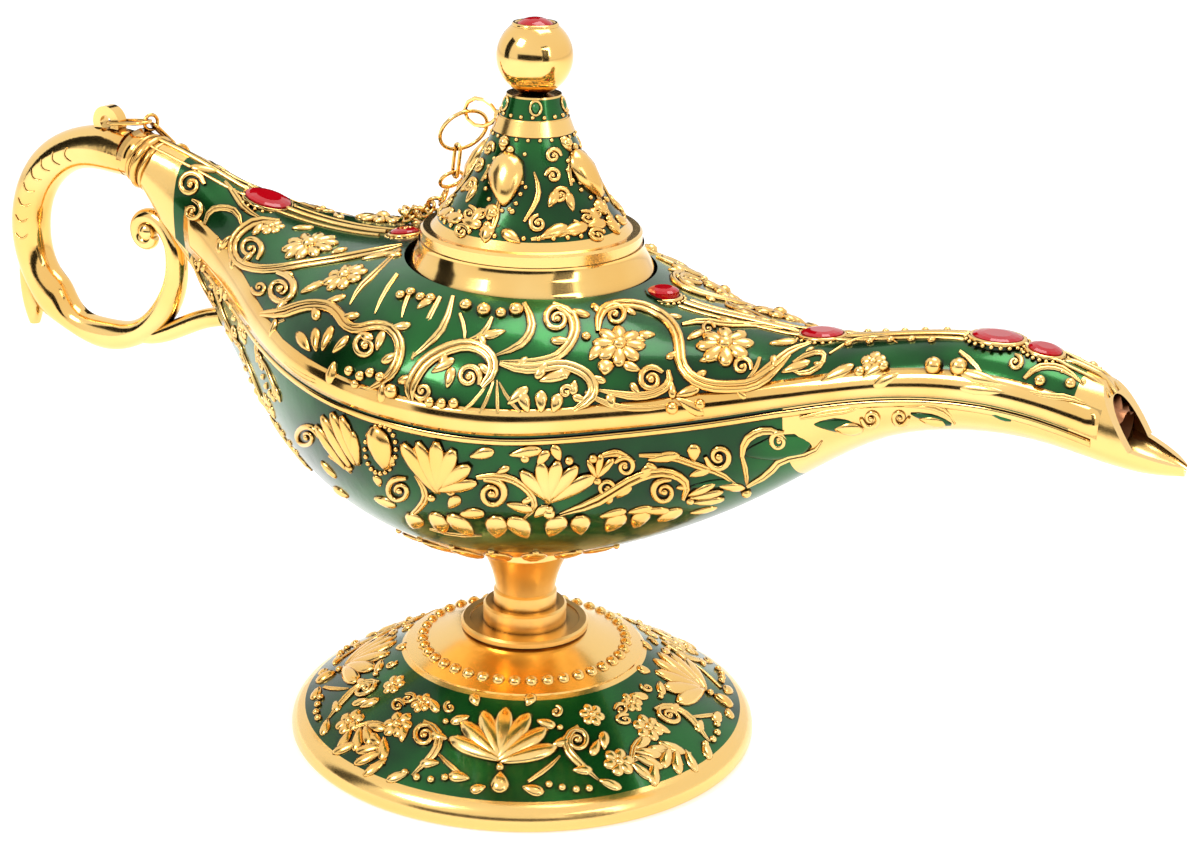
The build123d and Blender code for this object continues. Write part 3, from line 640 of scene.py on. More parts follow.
def flat_hoop(length: float, width: float, count: int, middle: Place = (0.0, 0.0)) -> list[Place]:
    """Points of a circle or ellipse of a drawing.

    Args:
        length: Its reach to the right.
        width: Its reach upwards.
        count: Number of points.
        middle: Its middle.

    Returns:
        The points.
    """
    angles = (2 * math.pi * step / count for step in range(count))
    return [(middle[0] + length * math.cos(angle), middle[1] + width * math.sin(angle)) for angle in angles]


class Relief:
    """Gold ornament laid on skins and gathered into one piece: strokes, beads and petals."""

    # How far strokes stand over the skin in millimetres, and beads as a share of their radius.
    STROKE_LIFT = 0.1
    BEAD_LIFT = 0.15
    # What is left of an open stroke's radius at its first and last point.
    FIRST_END = 0.55
    LAST_END = 0.2
    # How much wider a petal's round is drawn, since its root and tip are pinched.
    PETAL_SWELL = 1.25
    # Space between an oval's frame and its beads, and the radius of these.
    OVAL_GAP = 0.75
    OVAL_BEAD = 0.42

    def __init__(self, name: str) -> None:
        """Starts an empty piece.

        Args:
            name: The piece's name.
        """
        self.name = name
        self.mesh = bmesh.new()
        self.curve = bpy.data.curves.new(name + "_lines", "CURVE")
        self.curve.dimensions = "3D"
        self.curve.bevel_depth = MM
        self.curve.bevel_resolution = 1
        self.curve.resolution_u = 2
        self.curve.use_fill_caps = True

    def line(self, points: Iterable[Vector], radii: Sequence[float], closed: bool = False) -> None:
        """A round wire through points in space.

        Args:
            points: Points, in metres.
            radii: Radius at each point, in millimetres.
            closed: Whether it closes on itself.
        """
        points = list(points)
        if len(points) < 3:
            return
        spline = self.curve.splines.new("NURBS")
        spline.points.add(len(points) - 1)
        for knot, point, radius in zip(spline.points, points, radii):
            knot.co = (*point, 1.0)
            knot.radius = radius
        spline.order_u = 3
        spline.use_cyclic_u = closed
        spline.use_endpoint_u = not closed

    def stroke(self, patch: Patch, places: Sequence[Place], thick: float, thin: float, closed: bool = False) -> None:
        """A tapering stroke of the drawing, half sunk in the skin.

        Args:
            patch: The board.
            places: Points of the stroke.
            thick: Radius where it starts, in drawing millimetres.
            thin: Radius where it ends.
            closed: Whether it closes on itself.
        """
        spots, radii = [], []
        for index, place in enumerate(places):
            met = patch.spot(place, self.STROKE_LIFT)
            if met is None:
                break
            spots.append(met[0])
            share = index / max(len(places) - 1, 1)
            radii.append((thick + (thin - thick) * share) * patch.scale)
        if radii and not closed:
            radii[0] *= self.FIRST_END
            radii[-1] *= self.LAST_END
        self.line(spots, radii, closed and len(spots) == len(places))

    def bead(self, patch: Patch, place: Place, radius: float) -> None:
        """A round bead of the drawing.

        Args:
            patch: The board.
            place: Its middle.
            radius: Its radius, in drawing millimetres.
        """
        met = patch.spot(place, self.BEAD_LIFT * radius * patch.scale)
        if met is None:
            return
        size = radius * patch.scale * MM
        bmesh.ops.create_icosphere(self.mesh, subdivisions=2, radius=size, matrix=Matrix.Translation(met[0]))

    def petal(self, patch: Patch, place: Place, turn: float, length: float, width: float, rise: float = 0.55) -> None:
        """A rounded petal, narrow at its root, which lies at the given place.

        Args:
            patch: The board.
            place: Its root.
            turn: Which way it points, in degrees from the drawing's right.
            length: Its length, in drawing millimetres.
            width: Its width.
            rise: Its height over the skin.
        """
        angle = math.radians(turn)
        heart = (place[0] + length / 2 * math.cos(angle), place[1] + length / 2 * math.sin(angle))
        met = patch.spot(heart)
        if met is None:
            return
        way = patch.right * math.cos(angle) + patch.up * math.sin(angle)
        way = (way - met[1] * way.dot(met[1])).normalized()
        axes = Matrix((way, met[1].cross(way), met[1])).transposed().to_4x4()
        made = bmesh.ops.create_icosphere(self.mesh, subdivisions=2, radius=1.0)
        for vertex in made["verts"]:
            vertex.co.y *= 0.78 + 0.3 * vertex.co.x - 0.2 * vertex.co.x * vertex.co.x
            vertex.co.z *= 1.0 - 0.25 * vertex.co.y * vertex.co.y
        size = patch.scale * MM
        stretch = Matrix.Diagonal((length / 2 * size, width / 2 * size * self.PETAL_SWELL, rise * size, 1.0))
        bmesh.ops.transform(self.mesh, verts=made["verts"], matrix=Matrix.Translation(met[0]) @ axes @ stretch)

    # Motifs

    def rosette(self, patch: Patch, place: Place, radius: float, petals: int = 6) -> None:
        """A flower: a ring of petals round a bead.

        Args:
            patch: The board.
            place: Its middle.
            radius: Its radius.
            petals: Number of petals.
        """
        for index in range(petals):
            turn = 360 * index / petals
            self.petal(patch, place, turn, radius, radius * 4.6 / petals, radius * 0.2)
        self.bead(patch, place, radius * 0.30)

    def curl(self, patch: Patch, centre: Place, start: float, turns: float, size: float, thick: float = 0.42) -> None:
        """A spiral with a berry at its eye."""
        self.stroke(patch, spiral(centre, start, turns, size, size * 0.22), thick, thick * 0.45)
        self.bead(patch, centre, size * 0.26)

    def scroll(self, patch: Patch, length: float, hand: int = 1) -> None:
        """A C-scroll: two curls joined by a bow, with leaves along its back.

        Args:
            patch: The board, with the scroll along its right.
            length: Distance between the curls' middles.
            hand: 1 to bow upwards, -1 downwards.
        """
        size = length * 0.24
        half = length / 2
        ends = bow((-half - size, 0), (half + size, 0), -hand * size * 1.1, 12)
        self.stroke(patch, ends, 0.42, 0.5)
        self.curl(patch, (-half, -hand * size * 0.05), 180, hand * 1.15, size)
        self.curl(patch, (half, -hand * size * 0.05), 0, -hand * 1.15, size)
        for share, turn in ((-0.55, 115), (-0.2, 100), (0.2, 80), (0.55, 65)):
            root = (share * half, hand * size * (1.15 - abs(share)))
            self.petal(patch, root, hand * turn, size * 1.15, size * 0.6)

    def oval(self, patch: Patch, length: float, width: float, beads: int, thick: float = 0.35) -> None:
        """An oval frame with a row of beads round it.

        Args:
            patch: The board.
            length: Its length along the board's right.
            width: Its width.
            beads: Number of beads.
            thick: Radius of the frame's wire.
        """
        self.stroke(patch, flat_hoop(length / 2, width / 2, 24), thick, thick, closed=True)
        for place in flat_hoop(length / 2 + self.OVAL_GAP, width / 2 + self.OVAL_GAP, beads):
            self.bead(patch, place, self.OVAL_BEAD)

    def gather(self) -> None:
        """Turns the wires laid so far into faces of the piece."""
        if not self.curve.splines:
            return
        holder = bpy.data.objects.new(self.name + "_lines", self.curve)
        bpy.context.scene.collection.objects.link(holder)
        bpy.context.view_layer.update()
        lines = bpy.data.meshes.new_from_object(holder)
        self.mesh.from_mesh(lines)
        bpy.data.objects.remove(holder)
        bpy.data.meshes.remove(lines)
        self.curve.splines.clear()

    def repeat(self, moves: Sequence[Matrix]) -> None:
        """Adds turned or mirrored copies of all that was laid so far.

        Args:
            moves: How each copy is moved.
        """
        self.gather()
        laid = bpy.data.meshes.new(self.name + "_laid")
        self.mesh.to_mesh(laid)
        for move in moves:
            copy = laid.copy()
            copy.transform(move)
            if move.determinant() < 0:
                copy.flip_normals()
            self.mesh.from_mesh(copy)
            bpy.data.meshes.remove(copy)
        bpy.data.meshes.remove(laid)

    def finish(self, body: str, material: bpy.types.Material) -> bpy.types.Object:
        """Turns what was laid into a piece that rides on a body.

        Args:
            body: The body.
            material: Its finish.

        Returns:
            The piece.
        """
        self.gather()
        return settle(self.name, self.mesh, body, material)


MIRROR = Matrix.Diagonal((1, -1, 1, 1))
QUARTERS = tuple(Matrix.Rotation(math.radians(90 * turn), 4, "Z") for turn in (1, 2, 3))


@dataclass(frozen=True)
class Drawing:
    """Ornament drawn on the picture, in its pixels counted from its top left corner.

    Strokes are a first radius, a last radius and points; coils a middle, radius, first angle and
    turns; flowers a middle, radius and number of petals; leaves a root, direction, length and
    width; fans a root and the tips of their ribs; beads a middle and radius.
    """

    strokes: tuple[tuple[float, float, tuple[Place, ...]], ...] = ()
    coils: tuple[tuple[float, float, float, float, float], ...] = ()
    flowers: tuple[tuple[float, float, float, int], ...] = ()
    leaves: tuple[tuple[float, float, float, float, float], ...] = ()
    fans: tuple[tuple[Place, tuple[Place, ...]], ...] = ()
    beads: tuple[tuple[float, float, float], ...] = ()
    bold: float = 1.35
    # Width of a fan's ribs as a share of their length, their height and the berry at its root.
    rib_width: float = 0.31
    rib_rise: float = 5.0
    fan_berry: float = 4.2
    # A ribbon's two wires: their radius, and their distance from its middle, as shares of its half width.
    wire_share: float = 0.62
    groove_share: float = 0.48
    # What is left of a ribbon's width at its ends, and how its side leaves lean from its way, in degrees.
    pinch: float = 0.35
    leaf_lean: float = 52.0

    def lay(self, relief: Relief, sight: Sight) -> None:
        """Lays the drawing on what the camera sees.

        Args:
            relief: The piece that gathers it.
            sight: The board.
        """
        for thick, thin, way in self.strokes:
            self.ribbon(relief, sight, thick * self.bold, thin * self.bold, way)
        for across, down, radius, start, turns in self.coils:
            relief.curl(sight, (across, -down), start, turns, radius, (1.0 + radius * 0.13) * self.bold)
        for across, down, radius, petals in self.flowers:
            flat = sight.flat((across, down))
            if flat:
                relief.rosette(flat, (0, 0), radius * 1.12, petals)
        for across, down, turn, length, width in self.leaves:
            relief.petal(sight, (across, -down), turn, length * 1.05, width * self.bold, width * 0.4)
        for root, tips in self.fans:
            for tip in tips:
                run = (tip[0] - root[0], root[1] - tip[1])
                length = math.hypot(*run)
                turn = math.degrees(math.atan2(run[1], run[0]))
                relief.petal(sight, (root[0], -root[1]), turn, length, length * self.rib_width, self.rib_rise)
            relief.bead(sight, (root[0], -root[1]), self.fan_berry)
        for across, down, radius in self.beads:
            relief.bead(sight, (across, -down), radius)

    def ribbon(self, relief: Relief, sight: Sight, thick: float, thin: float, way: Sequence[Place]) -> None:
        """A stroke with a groove along it, made of two wires side by side, with leaves where it is long.

        Args:
            relief: The piece that gathers it.
            sight: The board.
            thick: Half width where it starts, in pixels.
            thin: Half width where it ends.
            way: Its points.
        """
        count = len(way)
        for hand in (-1, 1):
            places = []
            for index, place in enumerate(way):
                before, after = way[max(index - 1, 0)], way[min(index + 1, count - 1)]
                run = (after[0] - before[0], after[1] - before[1])
                span = math.hypot(*run) or 1.0
                pinch = self.pinch if index in (0, count - 1) else 1.0
                half = (thick + (thin - thick) * index / (count - 1)) * self.groove_share * hand * pinch
                places.append((place[0] - run[1] / span * half, -(place[1] + run[0] / span * half)))
            relief.stroke(sight, places, thick * self.wire_share, thin * self.wire_share)
        if count < 6:
            return
        for index in range(1, count - 1, 2):
            run = (way[index + 1][0] - way[index][0], way[index][1] - way[index + 1][1])
            lean = self.leaf_lean if index % 4 == 1 else -self.leaf_lean
            turn = math.degrees(math.atan2(run[1], run[0])) + lean
            relief.petal(sight, (way[index][0], -way[index][1]), turn, thick * 3.4, thick * 1.7, thick * 0.7)


COVER_DRAWING = Drawing(
    strokes=(
        (4.2, 2.8, ((280, 222), (260, 220), (245, 228), (235, 238), (232, 252), (240, 265), (260, 270),
                    (280, 269), (300, 265), (335, 260), (360, 255), (385, 250), (402, 245))),
        (2.6, 2.6, ((205, 224), (208, 210), (225, 207), (240, 213), (242, 226))),
        (2.4, 2.4, ((225, 182), (236, 196), (246, 212), (262, 219))),
        (4.6, 3.4, ((262, 314), (280, 315), (295, 309), (310, 305), (330, 306), (340, 315), (345, 325),
                    (357, 331), (375, 325), (390, 327), (400, 340), (401, 355), (395, 370), (385, 382), (368, 390))),
        (3.2, 1.6, ((400, 250), (375, 275), (357, 290), (350, 305))),
        (3.2, 1.6, ((397, 275), (382, 295), (375, 314))),
        (3.0, 1.6, ((411, 292), (404, 304), (402, 318))),
        (2.6, 2.6, ((258, 362), (256, 342), (266, 326), (285, 320))),
        (3.6, 3.0, ((440, 298), (427, 322), (412, 360))),
        (3.2, 2.4, ((453, 297), (448, 325), (428, 346), (412, 358))),
        (2.4, 1.8, ((460, 314), (466, 328), (465, 342))),
        (2.8, 1.8, ((492, 318), (487, 332), (474, 341), (455, 345))),
        (3.8, 2.6, ((524, 304), (533, 320), (530, 337), (515, 350), (495, 356))),
        (4.6, 2.8, ((553, 305), (569, 311), (576, 327), (572, 342), (560, 356), (547, 361), (525, 364), (500, 362))),
        (3.6, 4.4, ((500, 364), (517, 370), (540, 369), (560, 364), (577, 369), (590, 377), (595, 390),
                    (588, 402), (573, 411))),
        (4.0, 5.0, ((482, 387), (492, 377), (494, 362), (485, 350), (467, 344), (445, 350), (425, 362),
                    (415, 377), (409, 390), (412, 401))),
        (3.6, 4.6, ((598, 332), (597, 317), (607, 307), (625, 304), (645, 307), (665, 317), (677, 332),
                    (680, 350), (680, 365), (692, 380), (712, 387), (735, 387), (755, 385), (775, 370), (790, 355))),
        (3.6, 2.6, ((668, 371), (672, 382), (660, 392), (640, 397), (620, 395), (597, 390))),
        (4.0, 2.2, ((668, 284), (677, 300), (695, 310), (720, 314), (750, 315), (772, 318))),
        (2.8, 2.0, ((682, 325), (700, 320), (725, 326), (760, 325), (785, 329))),
        (2.8, 2.0, ((760, 358), (757, 372), (745, 382))),
        (3.4, 2.6, ((740, 390), (762, 374), (779, 360), (793, 349), (812, 342))),
        (2.2, 2.2, ((793, 363), (807, 354), (826, 352), (823, 366), (801, 377), (790, 370))),
        (2.8, 2.4, ((829, 354), (846, 341), (868, 336), (890, 335), (898, 343))),
        (3.2, 2.4, ((916, 330), (938, 338), (948, 354))),
        (3.0, 2.2, ((960, 352), (974, 362), (984, 376))),
        (2.8, 2.2, ((1024, 379), (1034, 368), (1051, 366), (1068, 371), (1084, 385))),
        (2.4, 2.4, ((1030, 393), (1048, 397), (1070, 397), (1086, 404))),
        (2.4, 1.6, ((462, 412), (478, 400), (490, 380))),
        (2.4, 1.6, ((480, 413), (489, 398), (494, 380))),
        (2.4, 1.6, ((498, 413), (497, 398), (497, 380))),
        (2.4, 1.6, ((520, 412), (507, 400), (499, 382))),
        (3.0, 2.4, ((286, 362), (300, 374), (322, 384), (345, 388))),
        (2.2, 2.2, ((585, 392), (600, 402), (625, 409), (660, 408), (692, 402))),
    ),
    coils=(
        (191, 185, 14, 0, 1.5), (193, 211, 11, 90, -1.3), (251, 249, 13, -60, 1.4), (281, 290, 17, 100, -1.6),
        (366, 347, 13, 60, 1.4), (469, 377, 13, -40, 1.5), (423, 391, 9, 200, 1.3), (557, 320, 14, 60, 1.5),
        (566, 392, 7, 0, 1.2), (615, 316, 12, 150, -1.4), (651, 380, 14, 30, 1.5), (742, 367, 10, -20, 1.3),
        (1015, 363, 8, 90, -1.3), (260, 288, 8, 180, 1.2), (708, 329, 7, 0, 1.2),
    ),
    flowers=(
        (310, 246, 26, 10), (272, 227, 12, 6), (345, 277, 21, 8), (619, 345, 22, 8), (725, 345, 24, 8),
        (873, 362, 11, 5),
    ),
    leaves=(
        (655, 335, 180, 16, 9), (645, 342, 160, 12, 7), (604, 376, 80, 16, 12), (770, 345, 10, 26, 9),
        (528, 412, 110, 20, 9), (541, 412, 90, 20, 9), (553, 412, 70, 18, 9), (508, 404, 40, 24, 8),
        (318, 352, 145, 34, 9), (322, 352, 118, 26, 9), (326, 352, 85, 26, 9), (332, 352, 40, 22, 8),
        (336, 362, -110, 22, 10), (612, 408, 100, 14, 8), (676, 398, -30, 30, 9), (676, 396, 20, 24, 8),
        (292, 232, 20, 22, 8), (420, 312, 60, 20, 8), (540, 382, 20, 30, 9), (505, 330, 200, 22, 8),
        (590, 362, 60, 20, 9), (640, 372, 150, 18, 8), (700, 362, 20, 22, 8), (432, 372, 30, 24, 8),
        (448, 388, 80, 20, 8), (380, 352, 90, 22, 8), (300, 292, 20, 26, 9), (322, 300, 0, 24, 8),
        (268, 338, 60, 20, 8), (782, 372, 20, 28, 8), (690, 345, 60, 22, 8), (575, 380, -100, 14, 7),
        (820, 380, 20, 34, 9), (862, 377, 30, 26, 8), (900, 375, -160, 28, 9), (1000, 385, 160, 40, 9),
        (1005, 392, 175, 44, 8), (700, 300, -10, 34, 9), (742, 306, -14, 30, 8), (345, 228, 10, 40, 10),
        (362, 262, 20, 34, 8), (300, 213, 0, 26, 8), (380, 232, 0, 30, 8), (250, 176, 150, 34, 9),
        (220, 172, 170, 30, 9), (215, 238, -60, 18, 9), (228, 252, -60, 20, 9),
    ),
    beads=(
        (350, 371, 5), (361, 376, 5), (371, 373, 5), (381, 377, 5), (356, 384, 4.5), (392, 391, 7),
        (401, 296, 5), (411, 293, 5), (421, 298, 5), (431, 299, 5), (466, 306, 6), (484, 311, 7),
        (501, 314, 5.5), (516, 311, 7), (430, 402, 5), (442, 403, 5), (454, 403, 5), (586, 337, 4.5),
        (934, 366, 8), (959, 367, 8), (884, 366, 5), (860, 372, 5), (1040, 381, 5), (1070, 384, 5),
        (672, 408, 6), (700, 404, 5),
    ),
)
BOWL_DRAWING = Drawing(
    strokes=(
        (2.8, 2.0, ((315, 487), (340, 478), (365, 492), (384, 505), (402, 520))),
        (3.2, 2.2, ((477, 477), (497, 474), (517, 480), (533, 494), (536, 510), (522, 520))),
        (3.0, 4.4, ((683, 499), (690, 486), (678, 474), (658, 470), (633, 478), (611, 492), (589, 505), (560, 514))),
        (3.0, 2.4, ((601, 456), (611, 452), (622, 453), (635, 461))),
        (3.4, 2.4, ((742, 456), (742, 442), (758, 430), (778, 430), (790, 442))),
        (3.0, 2.4, ((742, 456), (747, 472), (747, 486))),
        (2.8, 2.4, ((747, 486), (769, 475), (779, 458), (819, 453), (822, 441))),
        (2.6, 2.4, ((639, 455), (667, 454), (700, 466), (722, 472), (736, 484))),
        (3.4, 2.4, ((410, 516), (424, 505), (428, 490), (415, 475))),
        (3.0, 2.2, ((330, 455), (342, 462), (352, 473))),
        (2.6, 2.2, ((800, 418), (826, 412), (850, 410), (866, 404))),
        (2.6, 2.2, ((905, 405), (930, 404), (950, 412), (955, 424))),
        (2.4, 2.4, ((430, 528), (455, 536), (482, 535))),
        (2.4, 2.4, ((300, 470), (316, 492), (340, 512), (372, 528))),
    ),
    coils=(
        (400, 490, 14, 60, 1.5), (492, 493, 16, 120, -1.6), (307, 437, 13, 0, 1.5), (664, 491, 14, 60, 1.5),
        (625, 466, 11, 160, -1.4), (719, 456, 14, 180, 1.5), (779, 441, 10, 60, 1.3), (871, 418, 10, 180, 1.4),
        (900, 417, 9, 0, -1.4), (452, 490, 7, 0, 1.2), (606, 488, 9, 0, 1.3),
    ),
    leaves=(
        (381, 471, 90, 44, 22), (694, 462, 90, 18, 10), (377, 488, 80, 14, 8), (320, 462, -40, 22, 9),
        (448, 512, 60, 22, 9), (470, 458, 20, 24, 9), (510, 455, 10, 30, 9), (648, 460, 10, 30, 9),
        (600, 518, 20, 26, 9), (628, 512, 10, 24, 9), (690, 478, 30, 22, 8), (420, 462, 100, 16, 8),
        (437, 540, 80, 34, 16), (465, 543, 100, 36, 17),
        (495, 545, 84, 36, 17), (524, 545, 102, 36, 17), (552, 543, 80, 34, 16), (582, 541, 96, 32, 15),
        (611, 538, 78, 32, 15), (638, 534, 85, 30, 14), (662, 527, 60, 28, 13), (408, 536, 66, 32, 15),
        (372, 506, 20, 26, 11), (330, 500, 40, 26, 11), (384, 470, 60, 20, 9), (460, 520, 30, 26, 11),
        (508, 500, -30, 26, 10), (536, 520, 60, 20, 9), (640, 482, 60, 20, 9), (618, 500, 60, 20, 9),
        (835, 431, 10, 26, 12), (920, 421, 0, 24, 11), (538, 466, 60, 18, 8), (560, 462, 110, 18, 8),
        (640, 505, -20, 30, 9), (690, 510, 0, 26, 8), (720, 480, -30, 26, 9),
    ),
    fans=(
        ((350, 467), ((312, 428), (322, 416), (337, 411), (351, 414), (362, 430))),
        ((432, 497), ((408, 441), (425, 439), (443, 439), (458, 446), (471, 459), (477, 475))),
        ((549, 508), ((524, 466), (540, 458), (556, 457), (573, 461), (592, 470))),
        ((690, 500), ((712, 478), (722, 488), (724, 500))),
        ((597, 480), ((588, 458), (600, 452), (612, 456))),
    ),
    beads=tuple((*place, 2.6) for place in flat_hoop(15.5, 24, 20, (381, 449)))
    + ((549, 512, 6), (525, 458, 4.5), (569, 460, 4.5), (593, 458, 4.5), (746, 492, 5)),
)
# Root, direction, length and width of each drop, in the photograph's pixels.
SPOUT_DROPS = (
    (815, 428, 8, 40, 16), (745, 460, 20, 66, 30), (912, 419, 0, 38, 14), (690, 488, 10, 44, 12),
    (985, 412, -12, 26, 8),
)
FOOT_DRAWING = Drawing(
    strokes=(
        (3.6, 3.0, ((424, 722), (438, 728), (440, 745), (430, 760), (412, 776))),
        (3.6, 3.0, ((578, 727), (566, 734), (566, 750), (580, 765), (598, 780))),
        (3.0, 2.4, ((465, 778), (448, 765), (436, 752))),
        (3.0, 2.4, ((528, 782), (548, 770), (560, 756))),
        (2.8, 2.2, ((384, 765), (380, 748), (368, 735), (350, 728))),
        (2.8, 2.2, ((632, 768), (630, 752), (640, 738), (656, 730))),
    ),
    coils=(
        (425, 736, 12, 60, 1.5), (577, 741, 12, 120, -1.5), (398, 706, 7, 0, 1.3), (621, 710, 7, 180, -1.3),
        (450, 708, 6, 90, 1.2), (556, 712, 6, 90, -1.2),
    ),
    flowers=((350, 722, 15, 6), (648, 728, 15, 6), (422, 703, 11, 6), (592, 715, 12, 6)),
    leaves=(
        (470, 716, 200, 20, 9), (536, 720, -20, 20, 9), (405, 745, 100, 22, 9), (602, 752, 80, 22, 9),
        (440, 765, 170, 20, 9), (572, 772, 10, 20, 9), (362, 745, 190, 30, 10), (656, 745, -10, 30, 10),
        (448, 742, 150, 20, 9), (552, 748, 30, 20, 9), (372, 706, 160, 22, 8), (628, 700, 20, 22, 8),
        (385, 752, 200, 32, 10), (385, 752, 170, 30, 10), (385, 756, 230, 28, 9), (384, 750, 130, 26, 9),
        (632, 756, -20, 32, 10), (632, 756, 10, 30, 10), (632, 760, -50, 28, 9), (633, 754, 50, 26, 9),
        (470, 781, 160, 22, 10), (486, 786, 200, 16, 9), (500, 770, -90, 24, 14), (522, 786, -20, 22, 10),
        (478, 708, 110, 16, 9), (527, 708, 70, 16, 9), (410, 772, 200, 24, 9), (598, 780, -20, 24, 9),
    ),
    fans=(((500, 768), ((450, 731), (463, 715), (483, 705), (504, 702), (526, 707), (544, 722), (556, 742))),),
    beads=(
        (405, 773, 4), (417, 778, 4), (431, 780, 4), (445, 778, 4), (549, 785, 4), (562, 788, 4), (576, 790, 4),
        (589, 789, 4), (446, 722, 3.4), (560, 728, 3.4),
    ),
)
LID_DRAWING = Drawing(
    strokes=(
        (2.2, 2.2, ((487, 240), (497, 222), (497, 205), (503, 196))),
        (2.6, 2.6, ((531, 240), (556, 236), (585, 228), (612, 216))),
        (2.2, 1.8, ((571, 186), (566, 165), (573, 146), (585, 140))),
        (2.2, 1.8, ((599, 186), (604, 165), (598, 146), (586, 140))),
        (2.2, 1.8, ((524, 222), (536, 205), (540, 188), (534, 172))),
    ),
    coils=(
        (553, 156, 8, 0, 1.4), (553, 176, 8, 180, -1.4), (560, 196, 9, 0, 1.4), (573, 229, 8, 90, -1.3),
        (538, 224, 9, 90, 1.4), (470, 214, 8, 90, -1.4), (462, 232, 8, 0, 1.3), (597, 214, 7, 0, 1.3),
    ),
    leaves=(
        (470, 228, 60, 22, 9), (548, 208, 60, 20, 8), (572, 212, 100, 20, 8), (504, 152, 90, 16, 9),
        (507, 208, 92, 54, 27), (490, 222, 80, 18, 12), (487, 244, 90, 20, 12),
        (540, 240, 30, 30, 10), (560, 236, 25, 30, 10), (584, 230, 25, 26, 9), (520, 244, 140, 22, 9),
    ),
    beads=tuple((*place, 2.4) for place in flat_hoop(18, 28, 15, (504, 183)))
    + tuple((*place, 2.2) for place in flat_hoop(11, 21, 12, (585, 165)))
    + ((505, 143, 5), (511, 150, 4), (494, 214, 5), (488, 226, 4.4), (608, 190, 3), (606, 200, 3), (610, 180, 3)),
)


def settle(
    name: str,
    shape: bmesh.types.BMesh,
    body: str,
    material: bpy.types.Material,
    smooth: bool = True,
) -> bpy.types.Object:
    """Makes a finished piece of a shape and lets it ride on a body.

    Args:
        name: The piece's name.
        shape: Its shape in place, in metres; it is freed.
        body: The body that it rides on.
        material: Its finish.
        smooth: Whether its faces are shaded smooth.

    Returns:
        The piece.
    """
    mesh = bpy.data.meshes.new(name)
    for face in shape.faces:
        face.smooth = smooth
        face.material_index = 0
    shape.to_mesh(mesh)
    shape.free()
    mesh.materials.clear()
    mesh.materials.append(material)
    piece = bpy.data.objects.new(name, mesh)
    bpy.context.scene.collection.objects.link(piece)
    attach(piece, body)
    log.info("%s rides on %s with %d faces", name, body, len(mesh.polygons))
    return piece


def dress(name: str, material: bpy.types.Material, angle: float = 32.0) -> None:
    """Gives a node of the frame its finish and smooth shading between its sharp edges.

    Args:
        name: The node.
        material: Its finish.
        angle: Edges sharper than this stay sharp, in degrees.
    """
    node = frame["nodes"][name]
    for slot in node.material_slots:
        slot.material = material
    for polygon in node.data.polygons:
        polygon.use_smooth = True
    weld = node.modifiers.new("weld", "WELD")
    weld.merge_threshold = 0.001 * MM
    split = node.modifiers.new("sharp_edges", "EDGE_SPLIT")
    split.split_angle = math.radians(angle)
    log.info("node %s wears %s", name, material.name)


# Sub-assemblies


